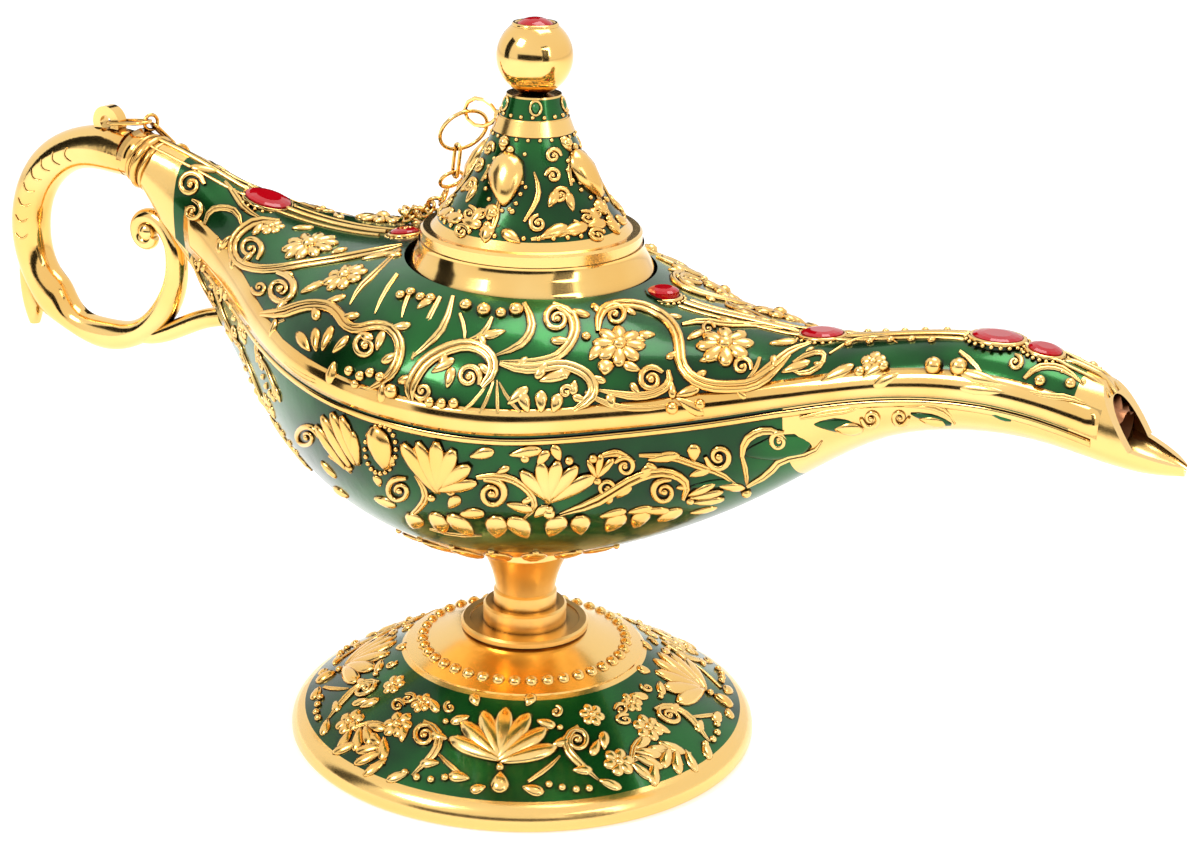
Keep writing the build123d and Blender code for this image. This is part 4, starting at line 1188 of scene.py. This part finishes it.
@dataclass
class Shell:
    """The hollow body: cover above the seam and bowl below it, with their cast ornament."""

    finishes: Finishes
    # The seam lies between these heights; past the body's ends it is taken at the last one.
    seam_low: float = 40.0
    seam_high: float = 88.0
    seam_past_ends: float = 70.0
    # The cover's gilt band grows wider by flare towards the tail, from flare_start on over flare_run.
    flare: float = 3.4
    flare_start: float = -28.0
    flare_run: float = 26.0
    rim_thickness: float = 0.5
    belt_span: tuple[int, int, int] = (-28, 94, 3)
    neck_reach: float = 17.0
    # Place along X, angle from the seam, turn, length and hand of each scroll.
    rear_scrolls: tuple[tuple[float, float, float, float, int], ...] = (
        (-52, -14, -34, 9.0, 1), (-44, -34, -34, 9.0, -1), (-61, -20, -40, 7.0, 1), (-35, -46, -24, 8.0, 1),
        (-34, -12, -24, 7.0, -1),
    )
    # Place along X, angle from the seam and radius of each flower.
    rear_flowers: tuple[tuple[float, float, float], ...] = ((-45, -8, 2.4), (-53, -34, 2.0), (-37, -30, 2.4))
    skin: Skin = field(init=False)

    def __post_init__(self) -> None:
        """Gathers the body's outside."""
        self.skin = Skin("cover", "bowl")

    def seam(self, along: float) -> float:
        """Height of the seam at a place along the lamp.

        Args:
            along: Place along X, in millimetres.

        Returns:
            The height, in metres.
        """
        low, high = self.seam_low * MM, self.seam_high * MM
        for _ in range(16):
            middle = (low + high) / 2
            met = self.skin.cast(Vector((along * MM, -OUTSIDE * MM, middle)), Vector((0, 1, 0)))
            below = met[2] == "bowl" if met else middle < self.seam_past_ends * MM
            low, high = (middle, high) if below else (low, middle)
        return low

    def board(self, along: float, tilt: float, side: Side, turn: float = 0.0) -> Patch | None:
        """A drawing board on the body.

        Args:
            along: Place along X, in millimetres.
            tilt: Angle above the seam, or below it where negative, seen from the middle, in degrees.
            side: Side of the lamp.
            turn: Turn of the drawing, in degrees.

        Returns:
            The board, or nothing where the body ends.
        """
        angle = math.radians(tilt)
        out = Vector((0, side.value * math.cos(angle), math.sin(angle)))
        middle = Vector((along * MM, 0, self.seam(along)))
        patch = board(self.skin, middle + out * OUTSIDE * MM, -out, Vector((1, 0, 0)))
        if patch is None:
            return None
        if patch.up.z < 0:
            patch.up = -patch.up
        if turn:
            hand = side.value * -1.0
            turned = Matrix.Rotation(math.radians(turn) * hand, 3, patch.out)
            patch.right, patch.up = turned @ patch.right, turned @ patch.up
        return patch

    def rim(self, name: str, side: Side, start: float, end: float, low: float, high: float, rows: int = 4) -> None:
        """A plain gilt band along the seam.

        Args:
            name: The piece's name.
            side: Side of the lamp.
            start: Where it starts along X, in millimetres.
            end: Where it ends.
            low: Its lower edge from the seam, in millimetres.
            high: Its upper edge.
            rows: Stretches across it.
        """
        steps = 90
        shape = bmesh.new()
        bmesh.ops.create_grid(shape, x_segments=steps, y_segments=rows, size=1.0)
        aim = Vector((0, -side.value, 0))
        columns: dict[int, list[bmesh.types.BMVert]] = {}
        for vertex in shape.verts:
            columns.setdefault(round((vertex.co.x + 1) / 2 * steps), []).append(vertex)
        missed = []
        for column, vertices in columns.items():
            along = start + (end - start) * column / steps
            seam = self.seam(along)
            for vertex in vertices:
                share = (vertex.co.y + 1) / 2
                tail = 0.0
                if high > 0:
                    tail = min(max((self.flare_start - along) / self.flare_run, 0.0), 1.0) * self.flare
                height = seam + (low + (high + tail - low) * share) * MM
                met = self.skin.cast(Vector((along * MM, side.value * OUTSIDE * MM, height)), aim)
                if met is None:
                    missed.append(vertex)
                    continue
                crown = 0.12 + 0.22 * math.sin(math.pi * share)
                vertex.co = met[0] + met[1] * crown * MM
        bmesh.ops.delete(shape, geom=missed, context="VERTS")
        bmesh.ops.recalc_face_normals(shape, faces=shape.faces)
        outwards = sum(face.normal.y * side.value for face in shape.faces)
        if outwards < 0:
            bmesh.ops.reverse_faces(shape, faces=shape.faces)
        bmesh.ops.solidify(shape, geom=shape.faces, thickness=self.rim_thickness * MM)
        settle(name, shape, "lamp", POLISHED.build(self.finishes))

    def relief(self, name: str, drawing: Drawing) -> None:
        """Ornament of cover or bowl, laid on the near side and mirrored.

        Args:
            name: The node under it.
            drawing: The ornament.
        """
        relief = Relief(name + "_relief")
        drawing.lay(relief, Sight(self.skin))
        if name == "cover":
            self.belt_beads(relief, 4.7, 0.62)
        else:
            self.rear(relief)
            self.belt_beads(relief, -2.6, 0.4)
            self.neck_petals(relief)
        relief.repeat([MIRROR])
        relief.finish("lamp", RELIEF.build(self.finishes))

    def belt_beads(self, relief: Relief, height: float, radius: float) -> None:
        """A row of beads beside the band along the seam.

        Args:
            relief: The piece that gathers them.
            height: Their height over the seam, in millimetres.
            radius: Their radius.
        """
        for along in range(*self.belt_span):
            patch = self.board(along, 0.0, Side.NEAR)
            if patch:
                relief.bead(patch, (0, height), radius)

    def neck_petals(self, relief: Relief) -> None:
        """Petals and beads round the bowl's foot, laid from below.

        Args:
            relief: The piece that gathers them.
        """
        for turn in range(0, 181, 18):
            angle = -math.radians(turn)
            out = Vector((math.cos(angle), math.sin(angle), 0))
            below = out * self.neck_reach * MM + Vector((0, 0, 0.02))
            patch = board(self.skin, below, Vector((0, 0, 1)), out)
            if patch:
                relief.petal(patch, (-4.5, 0), 0, 9.5, 4.4, 0.75)
                relief.bead(patch, (5.6, 0), 0.55)

    def rear(self, relief: Relief) -> None:
        """Scrolls and flowers on the bowl's rear, where the drawing ends.

        Args:
            relief: The piece that gathers them.
        """
        for along, tilt, turn, length, hand in self.rear_scrolls:
            patch = self.board(along, tilt, Side.NEAR, turn)
            if patch:
                relief.scroll(patch, length, hand)
        for along, tilt, radius in self.rear_flowers:
            patch = self.board(along, tilt, Side.NEAR)
            if patch:
                relief.rosette(patch, (0, 0), radius, 6)

    def drops(self) -> None:
        """Enamelled drops on the plain gilt underside of the spout."""
        drops = Relief("spout_drops")
        sight = Sight(self.skin)
        for across, down, turn, length, width in SPOUT_DROPS:
            drops.petal(sight, (across, -down), turn, length, width, 1.8)
        drops.repeat([MIRROR])
        drops.finish("lamp", Enamelled("drop_enamel").build(self.finishes))

    def lining(self) -> None:
        """A dark sheet inside the spout's end: painted shade of its hollow."""
        boxes = {row["name"]: row["box_m"] for row in frame["record"]["physics"]["openings"]}
        ends = [(Vector(low) + Vector(high)) / 2 for low, high in (boxes["spout_channel"], boxes["spout_mouth"])]
        way = (ends[1] - ends[0]).normalized()
        across = Vector((0, 1, 0))
        upwards = way.cross(across)
        shape = bmesh.new()
        bmesh.ops.create_grid(shape, x_segments=24, y_segments=8, size=1.0)
        for vertex in shape.verts:
            angle = math.pi * (vertex.co.x + 1)
            centre = ends[1] + way * (4.0 * vertex.co.y - 6.0) * MM
            aim = across * math.cos(angle) + upwards * math.sin(angle)
            met = self.skin.cast(centre, aim)
            reach = min((met[0] - centre).length, 4.0 * MM) if met else 2.0 * MM
            vertex.co = centre + aim * (reach - 0.12 * MM)
        bmesh.ops.remove_doubles(shape, verts=shape.verts, dist=0.01 * MM)
        inner = [edge for edge in shape.edges if edge.is_boundary and edge.verts[0].co.x < (ends[1].x - 8.0 * MM)]
        bmesh.ops.contextual_create(shape, geom=inner)
        bmesh.ops.recalc_face_normals(shape, faces=shape.faces)
        settle("spout_lining", shape, "lamp", MOUTH.build(self.finishes))

    def ridge(self) -> None:
        """Raised gilt lines along the top of tail and spout."""
        relief = Relief("ridge_lines")
        for start, end, spread in ((-76, -28, 2.2), (28, 97, 1.9), (-76, -28, 0.0), (28, 97, 0.0)):
            for side in Side:
                points = []
                for step in range(41):
                    along = (start + (end - start) * step / 40) * MM
                    met = self.skin.cast(Vector((along, side.value * spread * MM, 0.12)), Vector((0, 0, -1)))
                    if met:
                        points.append(met[0] + met[1] * 0.05 * MM)
                radius = 0.32 if spread else 0.55
                relief.line(points, [radius] * len(points))
                if not spread:
                    break
        relief.finish("lamp", RELIEF.build(self.finishes))

    def build(self) -> None:
        """Builds the bands and ornament of both sides and dresses the nodes."""
        for side in Side:
            label = side.name.lower()
            self.rim("cover_rim_" + label, side, -66.0, 97.0, 0.25, 4.2)
            self.rim("bowl_rim_" + label, side, -62.0, 96.0, -1.5, -0.3)
        self.relief("cover", COVER_DRAWING)
        self.relief("bowl", BOWL_DRAWING)
        self.drops()
        self.lining()
        self.ridge()
        cover_belts = (Belt(Axis.X, -90, -69), Belt(Axis.X, 93, 120))
        bowl_belts = (Belt(Axis.X, -90, -66), Belt(Axis.X, 51, 120), Belt(Axis.Z, 30, 40.0))
        dress("cover", Enamelled("cover_enamel", cover_belts).build(self.finishes), 40)
        dress("bowl", Enamelled("bowl_enamel", bowl_belts).build(self.finishes), 40)


@dataclass
class Collar:
    """The turned collar round the filling hole."""

    finishes: Finishes

    def build(self) -> None:
        """Dresses the collar."""
        dress("collar", POLISHED.build(self.finishes))


@dataclass
class Lid:
    """The lift-off lid: waisted enamel cone, gilt bands, relief and the ball finial."""

    finishes: Finishes
    # The neck's oval settings: their number, the bearing of the first, and their height.
    settings: int = 5
    settings_start: float = 233.0
    settings_height: float = 107.0

    def board(self, skin: Skin, bearing: float, height: float) -> Patch | None:
        """A drawing board on the cone.

        Args:
            skin: The lid's outside.
            bearing: Angle about the lamp's axis from the spout, in degrees.
            height: Height, in millimetres.

        Returns:
            The board.
        """
        angle = math.radians(bearing)
        out = Vector((math.cos(angle), math.sin(angle), 0))
        right = Vector((-math.sin(angle), math.cos(angle), 0))
        return board(skin, out * 0.05 + Vector((0, 0, height * MM)), -out, right)

    def neck_boards(self, skin: Skin) -> list[Patch]:
        """Drawing boards on the neck's oval settings."""
        bearings = (self.settings_start + 360 / self.settings * index for index in range(self.settings))
        patches = (self.board(skin, bearing, self.settings_height) for bearing in bearings)
        return [patch for patch in patches if patch]

    def relief(self) -> None:
        """The drawing at all four quarters, three rows of beads and the rims of the neck's settings."""
        skin = Skin("lid")
        relief = Relief("lid_relief")
        LID_DRAWING.lay(relief, Sight(skin, near_only=False))
        relief.repeat(QUARTERS)
        rows = ((16.0, 88.9, 40, 0.42), (6.1, 102.3, 22, 0.34), (4.5, 105.6, 18, 0.34))
        for reach, height, count, radius in rows:
            for index in range(count):
                patch = self.board(skin, 360 * index / count, height)
                if patch:
                    relief.bead(patch, (0, 0), radius)
        for patch in self.neck_boards(skin):
            relief.oval(patch, 1.7, 2.2, 0, 0.22)
        relief.finish("lid", RELIEF.build(self.finishes))

    def buds(self) -> None:
        """Small light green cabochons in the neck's oval settings."""
        skin = Skin("lid")
        buds = Relief("lid_buds")
        for patch in self.neck_boards(skin):
            buds.petal(patch, (0, -0.9), 90, 1.8, 1.3, 0.45)
        buds.finish("lid", JADE.build(self.finishes))

    def build(self) -> None:
        """Builds the relief and dresses lid, eye and finial."""
        self.relief()
        self.buds()
        belts = (Belt(Axis.Z, 70, 88.4), Belt(Axis.Z, 102.7, 105.1), Belt(Axis.Z, 108.2, 112))
        dress("lid", Enamelled("lid_enamel", belts).build(self.finishes))
        for name in ("lid_eye", "finial_stud", "finial_ball"):
            dress(name, POLISHED.build(self.finishes))


@dataclass
class Foot:
    """The spread foot and turned stem."""

    finishes: Finishes
    # The row of large beads on the foot's satin disc: its radius, and the beads' radius and depth.
    row_reach: float = 17.0
    row_bead: float = 1.15
    row_sink: float = 0.3

    def relief(self) -> None:
        """The drawing at all four quarters and a row of large beads near the stem."""
        skin = Skin("foot")
        relief = Relief("foot_relief")
        FOOT_DRAWING.lay(relief, Sight(skin, near_only=False))
        relief.repeat(QUARTERS)
        reach = self.row_reach * MM
        for over in hoop(Vector((0, 0, 0.05)), Vector((reach, 0, 0)), Vector((0, reach, 0)), 40):
            met = skin.cast(over, Vector((0, 0, -1)))
            if met:
                spot = Matrix.Translation(met[0] - Vector((0, 0, self.row_sink * MM)))
                bmesh.ops.create_icosphere(relief.mesh, subdivisions=2, radius=self.row_bead * MM, matrix=spot)
        relief.finish("lamp", RELIEF.build(self.finishes))

    def build(self) -> None:
        """Builds the relief and dresses foot and stem."""
        self.relief()
        belts = (Belt(Axis.Z, -1, 4.5), Belt(Axis.REACH, -1, 20.6))
        dress("foot", Enamelled("foot_enamel", belts).build(self.finishes), 28)
        for name in ("stem_base", "stem_neck"):
            dress(name, SATIN.build(self.finishes), 28)
        for name in ("stem_bolt", "foot_washer", "foot_nut"):
            dress(name, POLISHED.build(self.finishes))


@dataclass
class Handle:
    """The ring handle with its scroll, strut, leaf rest and chain ear."""

    finishes: Finishes
    loop_middle: Place = (-89.6, 69.9)
    joint: Place = (-77.8, 86.2)
    joint_slope: float = 22.0
    sleeve_radius: float = 4.42
    sleeve_length: float = 4.2
    # Shift along the joint, radius and wire of the rings over the sleeve.
    joint_rings: tuple[tuple[float, float, float], ...] = ((0.0, 4.45, 0.75), (1.5, 4.5, 0.45), (-1.5, 4.3, 0.45))
    # Distance of the scales from the loop's middle, and their half length.
    scale_reach: float = 16.4
    scale_half: float = 1.3

    def sleeve(self) -> None:
        """A plain gilt sleeve over the seam between handle and tail."""
        slope = math.radians(self.joint_slope)
        shape = bmesh.new()
        bmesh.ops.create_cone(
            shape, cap_ends=False, segments=40, radius1=self.sleeve_radius * MM, radius2=self.sleeve_radius * MM,
            depth=self.sleeve_length * MM,
        )
        bmesh.ops.translate(shape, verts=shape.verts, vec=(0, 0, self.sleeve_length / 2 * MM))
        bmesh.ops.recalc_face_normals(shape, faces=shape.faces)
        bmesh.ops.solidify(shape, geom=shape.faces, thickness=0.25 * MM)
        turn = Matrix.Rotation(slope - math.pi / 2, 4, "Y")
        place = Matrix.Translation(Vector((self.joint[0] * MM, 0, self.joint[1] * MM)))
        bmesh.ops.transform(shape, verts=shape.verts, matrix=place @ turn)
        settle("joint_sleeve", shape, "lamp", POLISHED.build(self.finishes))

    def rings(self, relief: Relief) -> None:
        """Turned rings over the sleeve.

        Args:
            relief: The piece that gathers them.
        """
        slope = math.radians(self.joint_slope)
        along = Vector((math.cos(slope), 0, -math.sin(slope)))
        upwards = Vector((math.sin(slope), 0, math.cos(slope)))
        joint = Vector((self.joint[0] * MM, 0, self.joint[1] * MM))
        for shift, radius, wire in self.joint_rings:
            middle = joint + along * shift * MM
            ring = hoop(middle, upwards * radius * MM, Vector((0, radius * MM, 0)), 24)
            relief.line(ring, [wire] * len(ring), closed=True)

    def scales(self, relief: Relief) -> None:
        """Small raised crescents on both faces of the loop's outer half.

        Args:
            relief: The piece that gathers them.
        """
        skin = Skin("handle")
        middle = Vector((self.loop_middle[0] * MM, 0, self.loop_middle[1] * MM))
        crescent = bow((0, -self.scale_half), (0, self.scale_half), -0.9, 8)
        for bearing in range(104, 190, 11):
            angle = math.radians(bearing)
            out = Vector((math.cos(angle), 0, math.sin(angle)))
            for side in Side:
                aim = Vector((0, -side.value, 0))
                start = middle + out * self.scale_reach * MM - aim * 0.02
                patch = board(skin, start, aim, Vector((-out.z, 0, out.x)))
                if patch:
                    patch.depth = 3.0
                    relief.stroke(patch, crescent, 0.14, 0.14)

    def build(self) -> None:
        """Lays sleeve, rings and scales and dresses the casting."""
        self.sleeve()
        relief = Relief("handle_scales")
        self.rings(relief)
        self.scales(relief)
        relief.finish("lamp", RELIEF.build(self.finishes))
        dress("handle", POLISHED.build(self.finishes), 40)


class Loop:
    """A closed wire ring or long link of the chain, found from a solid of the frame."""

    # A link that is less than this many times as long as wide is round.
    ROUND = 1.12

    def __init__(self, points: np.ndarray) -> None:
        """Finds the link's middle, its plane and its size.

        Args:
            points: The solid's points, in metres.
        """
        self.middle = points.mean(axis=0)
        offsets = points - self.middle
        _, _, axes = np.linalg.svd(offsets, full_matrices=False)
        self.axes = axes
        reach = np.abs(offsets @ axes.T).max(axis=0)
        self.half_length, self.half_width = float(reach[0]), float(reach[1])

    def outline(self, wire: float) -> list[Vector]:
        """Points of the wire's middle line.

        Args:
            wire: The wire's radius, in metres.

        Returns:
            The points, in place.
        """
        length, width = self.half_length - wire, self.half_width - wire
        if length < width * self.ROUND:
            length = width = (length + width) / 2
        points = []
        for along, across in flat_hoop(width, width, 20):
            shift = math.copysign(length - width, along) if length > width else 0.0
            points.append(Vector(self.middle + (shift + along) * self.axes[0] + across * self.axes[1]))
        return points


@dataclass
class Chain:
    """The lid's chain in round wire, which replaces the frame's many-sided links."""

    finishes: Finishes
    wire: float = 0.33
    bodies: dict[str, str] = field(
        default_factory=lambda: {
            "lid_ring": "lid_ring",
            "chain_hook": "chain_hook",
            "chain_ring": "chain_hook",
            "lug_link": "lug_link",
            "lug_ring": "lug_link",
            "lug_hook": "lug_link",
            "rear_chain_links": "chain",
            "front_chain_links": "chain",
        }
    )

    def solids(self, name: str) -> list[np.ndarray]:
        """The separate solids of a node, each as its points, in the same order on every run.

        Args:
            name: The node.

        Returns:
            One array of points for each solid.
        """
        work = bmesh.new()
        work.from_mesh(node_mesh(name))
        bmesh.ops.remove_doubles(work, verts=work.verts, dist=0.001 * MM)
        left = dict.fromkeys(work.verts)
        found = []
        while left:
            queue = [left.popitem()[0]]
            points = []
            while queue:
                vertex = queue.pop()
                points.append(tuple(vertex.co))
                for edge in vertex.link_edges:
                    other = edge.other_vert(vertex)
                    if other in left:
                        del left[other]
                        queue.append(other)
            found.append(np.array(points))
        work.free()
        return found

    def build(self) -> None:
        """Builds each node's links and lets them stand for it."""
        for name, body in self.bodies.items():
            wires = Relief(name + "_wire")
            wires.curve.bevel_resolution = 2
            for points in self.solids(name):
                outline = Loop(points).outline(self.wire * MM)
                wires.line(outline, [self.wire] * len(outline), closed=True)
            piece = wires.finish(body, POLISHED.build(self.finishes))
            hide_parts(name)


@dataclass
class Stones:
    """The red stones, each a cut crown in a rounded gilt rim."""

    finishes: Finishes
    names: tuple[str, ...] = (
        "tail_stone",
        "rear_ridge_stone",
        "front_ridge_stone",
        "spout_root_stone",
        "spout_oval_stone",
        "spout_tip_stone",
    )
    # Height of the girdle as a share of the crown's top, and inset and rise of the cuts above it.
    girdle: float = 0.62
    cuts: tuple[tuple[float, float], ...] = ((0.16, 0.55), (0.28, 0.45))
    # The rim's height over the stone's seat, its wire and distance, and the beads round it.
    rim_height: float = 1.15
    rim_wire: float = 0.45
    rim_gap: float = 0.25
    bead_radius: float = 0.34
    bead_gap: float = 0.95

    def build_one(self, name: str, rims: Relief) -> None:
        """Cuts one stone and lays its rim.

        Args:
            name: The stone's node.
            rims: The piece that gathers the rims.
        """
        points = np.array([tuple(vertex.co) for vertex in node_mesh(name).vertices])
        middle = (points.max(axis=0) + points.min(axis=0)) / 2
        offsets = points - middle
        slope = math.atan2(*self.tilt(offsets))
        along = Vector((math.cos(slope), 0, math.sin(slope)))
        out = Vector((-along.z, 0, along.x))
        across = out.cross(along)
        frame_of = np.array([along, across, out])
        reach = np.abs(offsets @ frame_of.T).max(axis=0)
        low, top = -reach[2], reach[2]
        waist = top * self.girdle
        shape = bmesh.new()
        lower = bmesh.ops.create_cone(shape, cap_ends=True, segments=16, radius1=1.0, radius2=1.0, depth=waist - low)
        bmesh.ops.translate(shape, verts=lower["verts"], vec=(0, 0, (waist + low) / 2))
        crown = [face for face in shape.faces if face.normal.z > 0.9]
        for inset, lift in self.cuts:
            bmesh.ops.inset_region(shape, faces=crown, thickness=inset)
            verts = {vertex for face in crown for vertex in face.verts}
            bmesh.ops.translate(shape, verts=list(verts), vec=(0, 0, lift * top * (1 - self.girdle)))
        bmesh.ops.scale(shape, verts=shape.verts, vec=(reach[0], reach[1], 1.0))
        axes = Matrix((along, across, out)).transposed().to_4x4()
        bmesh.ops.transform(shape, verts=shape.verts, matrix=Matrix.Translation(Vector(middle)) @ axes)
        gem = settle(name + "_cut", shape, "lamp", RUBY.build(self.finishes), smooth=False)
        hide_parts(name)
        base = Vector(middle) + out * (low + self.rim_height * MM)
        gap = self.rim_gap * MM
        ring = hoop(base, along * (reach[0] + gap), across * (reach[1] + gap), 24)
        rims.line(ring, [self.rim_wire] * len(ring), closed=True)
        gap = self.bead_gap * MM
        for place in hoop(base, along * (reach[0] + gap), across * (reach[1] + gap), 22):
            spot = Matrix.Translation(place - out * 0.25 * MM)
            bmesh.ops.create_icosphere(rims.mesh, subdivisions=2, radius=self.bead_radius * MM, matrix=spot)

    @staticmethod
    def tilt(offsets: np.ndarray) -> tuple[float, float]:
        """Rise and run of a stone's length.

        Args:
            offsets: The stone's points from its middle.

        Returns:
            The rise and the run of the line through its flat ends.
        """
        front = offsets[offsets[:, 0] > offsets[:, 0].max() * 0.9]
        back = offsets[offsets[:, 0] < offsets[:, 0].min() * 0.9]
        rise = front.mean(axis=0) - back.mean(axis=0)
        return float(rise[2]), float(rise[0])

    def finial(self) -> None:
        """The domed stone on the ball."""
        low, high = (Vector(corner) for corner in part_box("finial_gem"))
        middle = (low + high) / 2
        reach = (high.x - low.x) / 2
        height = high.z - low.z
        shape = bmesh.new()
        bmesh.ops.create_uvsphere(shape, u_segments=32, v_segments=16, radius=1.0)
        whole = shape.verts[:] + shape.edges[:] + shape.faces[:]
        bmesh.ops.bisect_plane(shape, geom=whole, plane_co=(0, 0, 0), plane_no=(0, 0, 1), clear_inner=True)
        rim = [edge for edge in shape.edges if edge.is_boundary]
        bmesh.ops.contextual_create(shape, geom=rim)
        bmesh.ops.scale(shape, verts=shape.verts, vec=(reach, reach, height))
        bmesh.ops.translate(shape, verts=shape.verts, vec=(middle.x, middle.y, low.z))
        bmesh.ops.recalc_face_normals(shape, faces=shape.faces)
        gem = settle("finial_cabochon", shape, "lid", RUBY.build(self.finishes))
        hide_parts("finial_gem")
        rims = Relief("finial_rim")
        wide = reach * 1.02
        ring = hoop(Vector((0, 0, low.z + 0.9 * MM)), Vector((wide, 0, 0)), Vector((0, wide, 0)), 24)
        rims.line(ring, [0.4] * len(ring), closed=True)
        rims.finish("lid", POLISHED.build(self.finishes))

    def build(self) -> None:
        """Cuts all stones and lays their rims."""
        rims = Relief("stone_rims")
        for name in self.names:
            self.build_one(name, rims)
        rims.finish("lamp", POLISHED.build(self.finishes))
        self.finial()


# Stage


@dataclass
class Studio:
    """Camera, soft lamps, white surroundings and a pale floor, in metres and watts."""

    aim: tuple[float, float, float] = (0.0, 0.0, 0.06)
    floor_reach: float = 4.0
    # Share of the surroundings' light that falls on the object, and the floor's own glow.
    world_share: float = 0.45
    floor_glow: float = 0.45
    # Name, place, side and power.
    lamps: tuple[tuple[str, tuple[float, float, float], float, float], ...] = (
        ("key_lamp", (-0.35, -0.75, 0.85), 0.35, 6.0),
        ("fill_lamp", (0.85, -0.35, 0.45), 0.4, 3.0),
        ("top_lamp", (0.05, 0.25, 0.95), 0.5, 4.0),
    )
    # Name, place, width and height.
    cards: tuple[tuple[str, tuple[float, float, float], float, float], ...] = (
        ("dark_card_front", (0.30, -1.00, 0.20), 1.6, 0.30),
        ("dark_card_left", (-0.80, -0.45, 0.30), 0.34, 0.9),
        ("dark_card_right", (0.85, -0.40, 0.30), 0.34, 0.9),
        ("dark_card_back", (-0.55, 0.80, 0.30), 0.25, 0.9),
    )

    def camera(self) -> None:
        """Sets the photograph's camera."""
        right, up, ahead = VIEW.axes()
        data = bpy.data.cameras.new("camera")
        data.lens = VIEW.lens
        data.sensor_width = VIEW.sensor
        data.clip_start = 0.01
        camera = bpy.data.objects.new("camera", data)
        turned = Matrix((right, up, -ahead)).transposed().to_4x4()
        camera.matrix_world = Matrix.Translation(VIEW.place()) @ turned
        bpy.context.scene.collection.objects.link(camera)
        bpy.context.scene.camera = camera

    def lamp(self, name: str, place: Vector, size: float, power: float) -> None:
        """A square soft lamp that shines at the object.

        Args:
            name: Its name.
            place: Where it hangs, in metres.
            size: Its side, in metres.
            power: Its power, in watts.
        """
        data = bpy.data.lights.new(name, "AREA")
        data.size = size
        data.energy = power
        lamp = bpy.data.objects.new(name, data)
        aim = (Vector(self.aim) - place).to_track_quat("-Z", "Y")
        lamp.matrix_world = Matrix.Translation(place) @ aim.to_matrix().to_4x4()
        bpy.context.scene.collection.objects.link(lamp)

    def card(self, name: str, place: Vector, width: float, height: float) -> None:
        """A dark card that only reflections see.

        Args:
            name: Its name.
            place: Its middle, in metres.
            width: Its width.
            height: Its height.
        """
        shape = bmesh.new()
        bmesh.ops.create_grid(shape, x_segments=1, y_segments=1, size=0.5)
        bmesh.ops.scale(shape, verts=shape.verts, vec=(width, height, 1))
        aim = (Vector(self.aim) - place).to_track_quat("Z", "Y").to_matrix().to_4x4()
        bmesh.ops.transform(shape, verts=shape.verts, matrix=Matrix.Translation(place) @ aim)
        mesh = bpy.data.meshes.new(name)
        shape.to_mesh(mesh)
        shape.free()
        material = bpy.data.materials.new(name)
        material.use_nodes = True
        graph = Graph(material.node_tree)
        shader = graph.add("BsdfDiffuse", {"Color": rgba((0.02, 0.02, 0.02))})
        graph.add("OutputMaterial", {0: shader.outputs[0]})
        mesh.materials.append(material)
        card = bpy.data.objects.new(name, mesh)
        card.visible_camera = False
        card.visible_shadow = False
        card.visible_diffuse = False
        bpy.context.scene.collection.objects.link(card)

    def seen(self, graph: Graph) -> bpy.types.NodeSocket:
        """One for camera, glossy and transmission rays, zero for others."""
        path = graph.add("LightPath")
        glossy = graph.math("MAXIMUM", path.outputs["Is Camera Ray"], path.outputs["Is Glossy Ray"])
        return graph.math("MAXIMUM", glossy, path.outputs["Is Transmission Ray"])

    def world(self) -> None:
        """White surroundings, dimmer where they light the object."""
        world = bpy.data.worlds.new("surroundings")
        world.use_nodes = True
        graph = Graph(world.node_tree)
        strength = graph.span(self.seen(graph), 0.0, 1.0, self.world_share, 1.0)
        light = graph.add("Background", {"Color": rgba((1, 1, 1)), "Strength": strength})
        graph.add("OutputWorld", {0: light.outputs[0]})
        bpy.context.scene.world = world

    def floor(self) -> None:
        """A wide pale floor that keeps the object's shadow."""
        shape = bmesh.new()
        bmesh.ops.create_grid(shape, x_segments=1, y_segments=1, size=self.floor_reach)
        mesh = bpy.data.meshes.new("floor")
        shape.to_mesh(mesh)
        shape.free()
        material = bpy.data.materials.new("floor_white")
        material.use_nodes = True
        graph = Graph(material.node_tree)
        matt = graph.add("BsdfDiffuse", {"Color": rgba((0.86, 0.86, 0.86))})
        strength = graph.math("MULTIPLY", self.seen(graph), self.floor_glow)
        glow = graph.add("Emission", {"Color": rgba((1, 1, 1)), "Strength": strength})
        both = graph.add("AddShader", {0: matt.outputs[0], 1: glow.outputs[0]})
        graph.add("OutputMaterial", {0: both.outputs[0]})
        mesh.materials.append(material)
        floor = bpy.data.objects.new("floor", mesh)
        bpy.context.scene.collection.objects.link(floor)

    def build(self) -> None:
        """Sets up the whole studio."""
        bpy.context.scene.view_settings.view_transform = "Standard"
        self.camera()
        self.world()
        self.floor()
        for name, place, size, power in self.lamps:
            self.lamp(name, Vector(place), size, power)
        for name, place, width, height in self.cards:
            self.card(name, Vector(place), width, height)


def main() -> None:
    """Builds the studio and every sub-assembly."""
    logging.basicConfig(level=logging.INFO, format="%(name)s: %(message)s")
    Studio().build()
    finishes = Finishes()
    for assembly in (Shell, Collar, Lid, Foot, Handle, Chain, Stones):
        assembly(finishes).build()


if __name__ == "__main__":
    main()
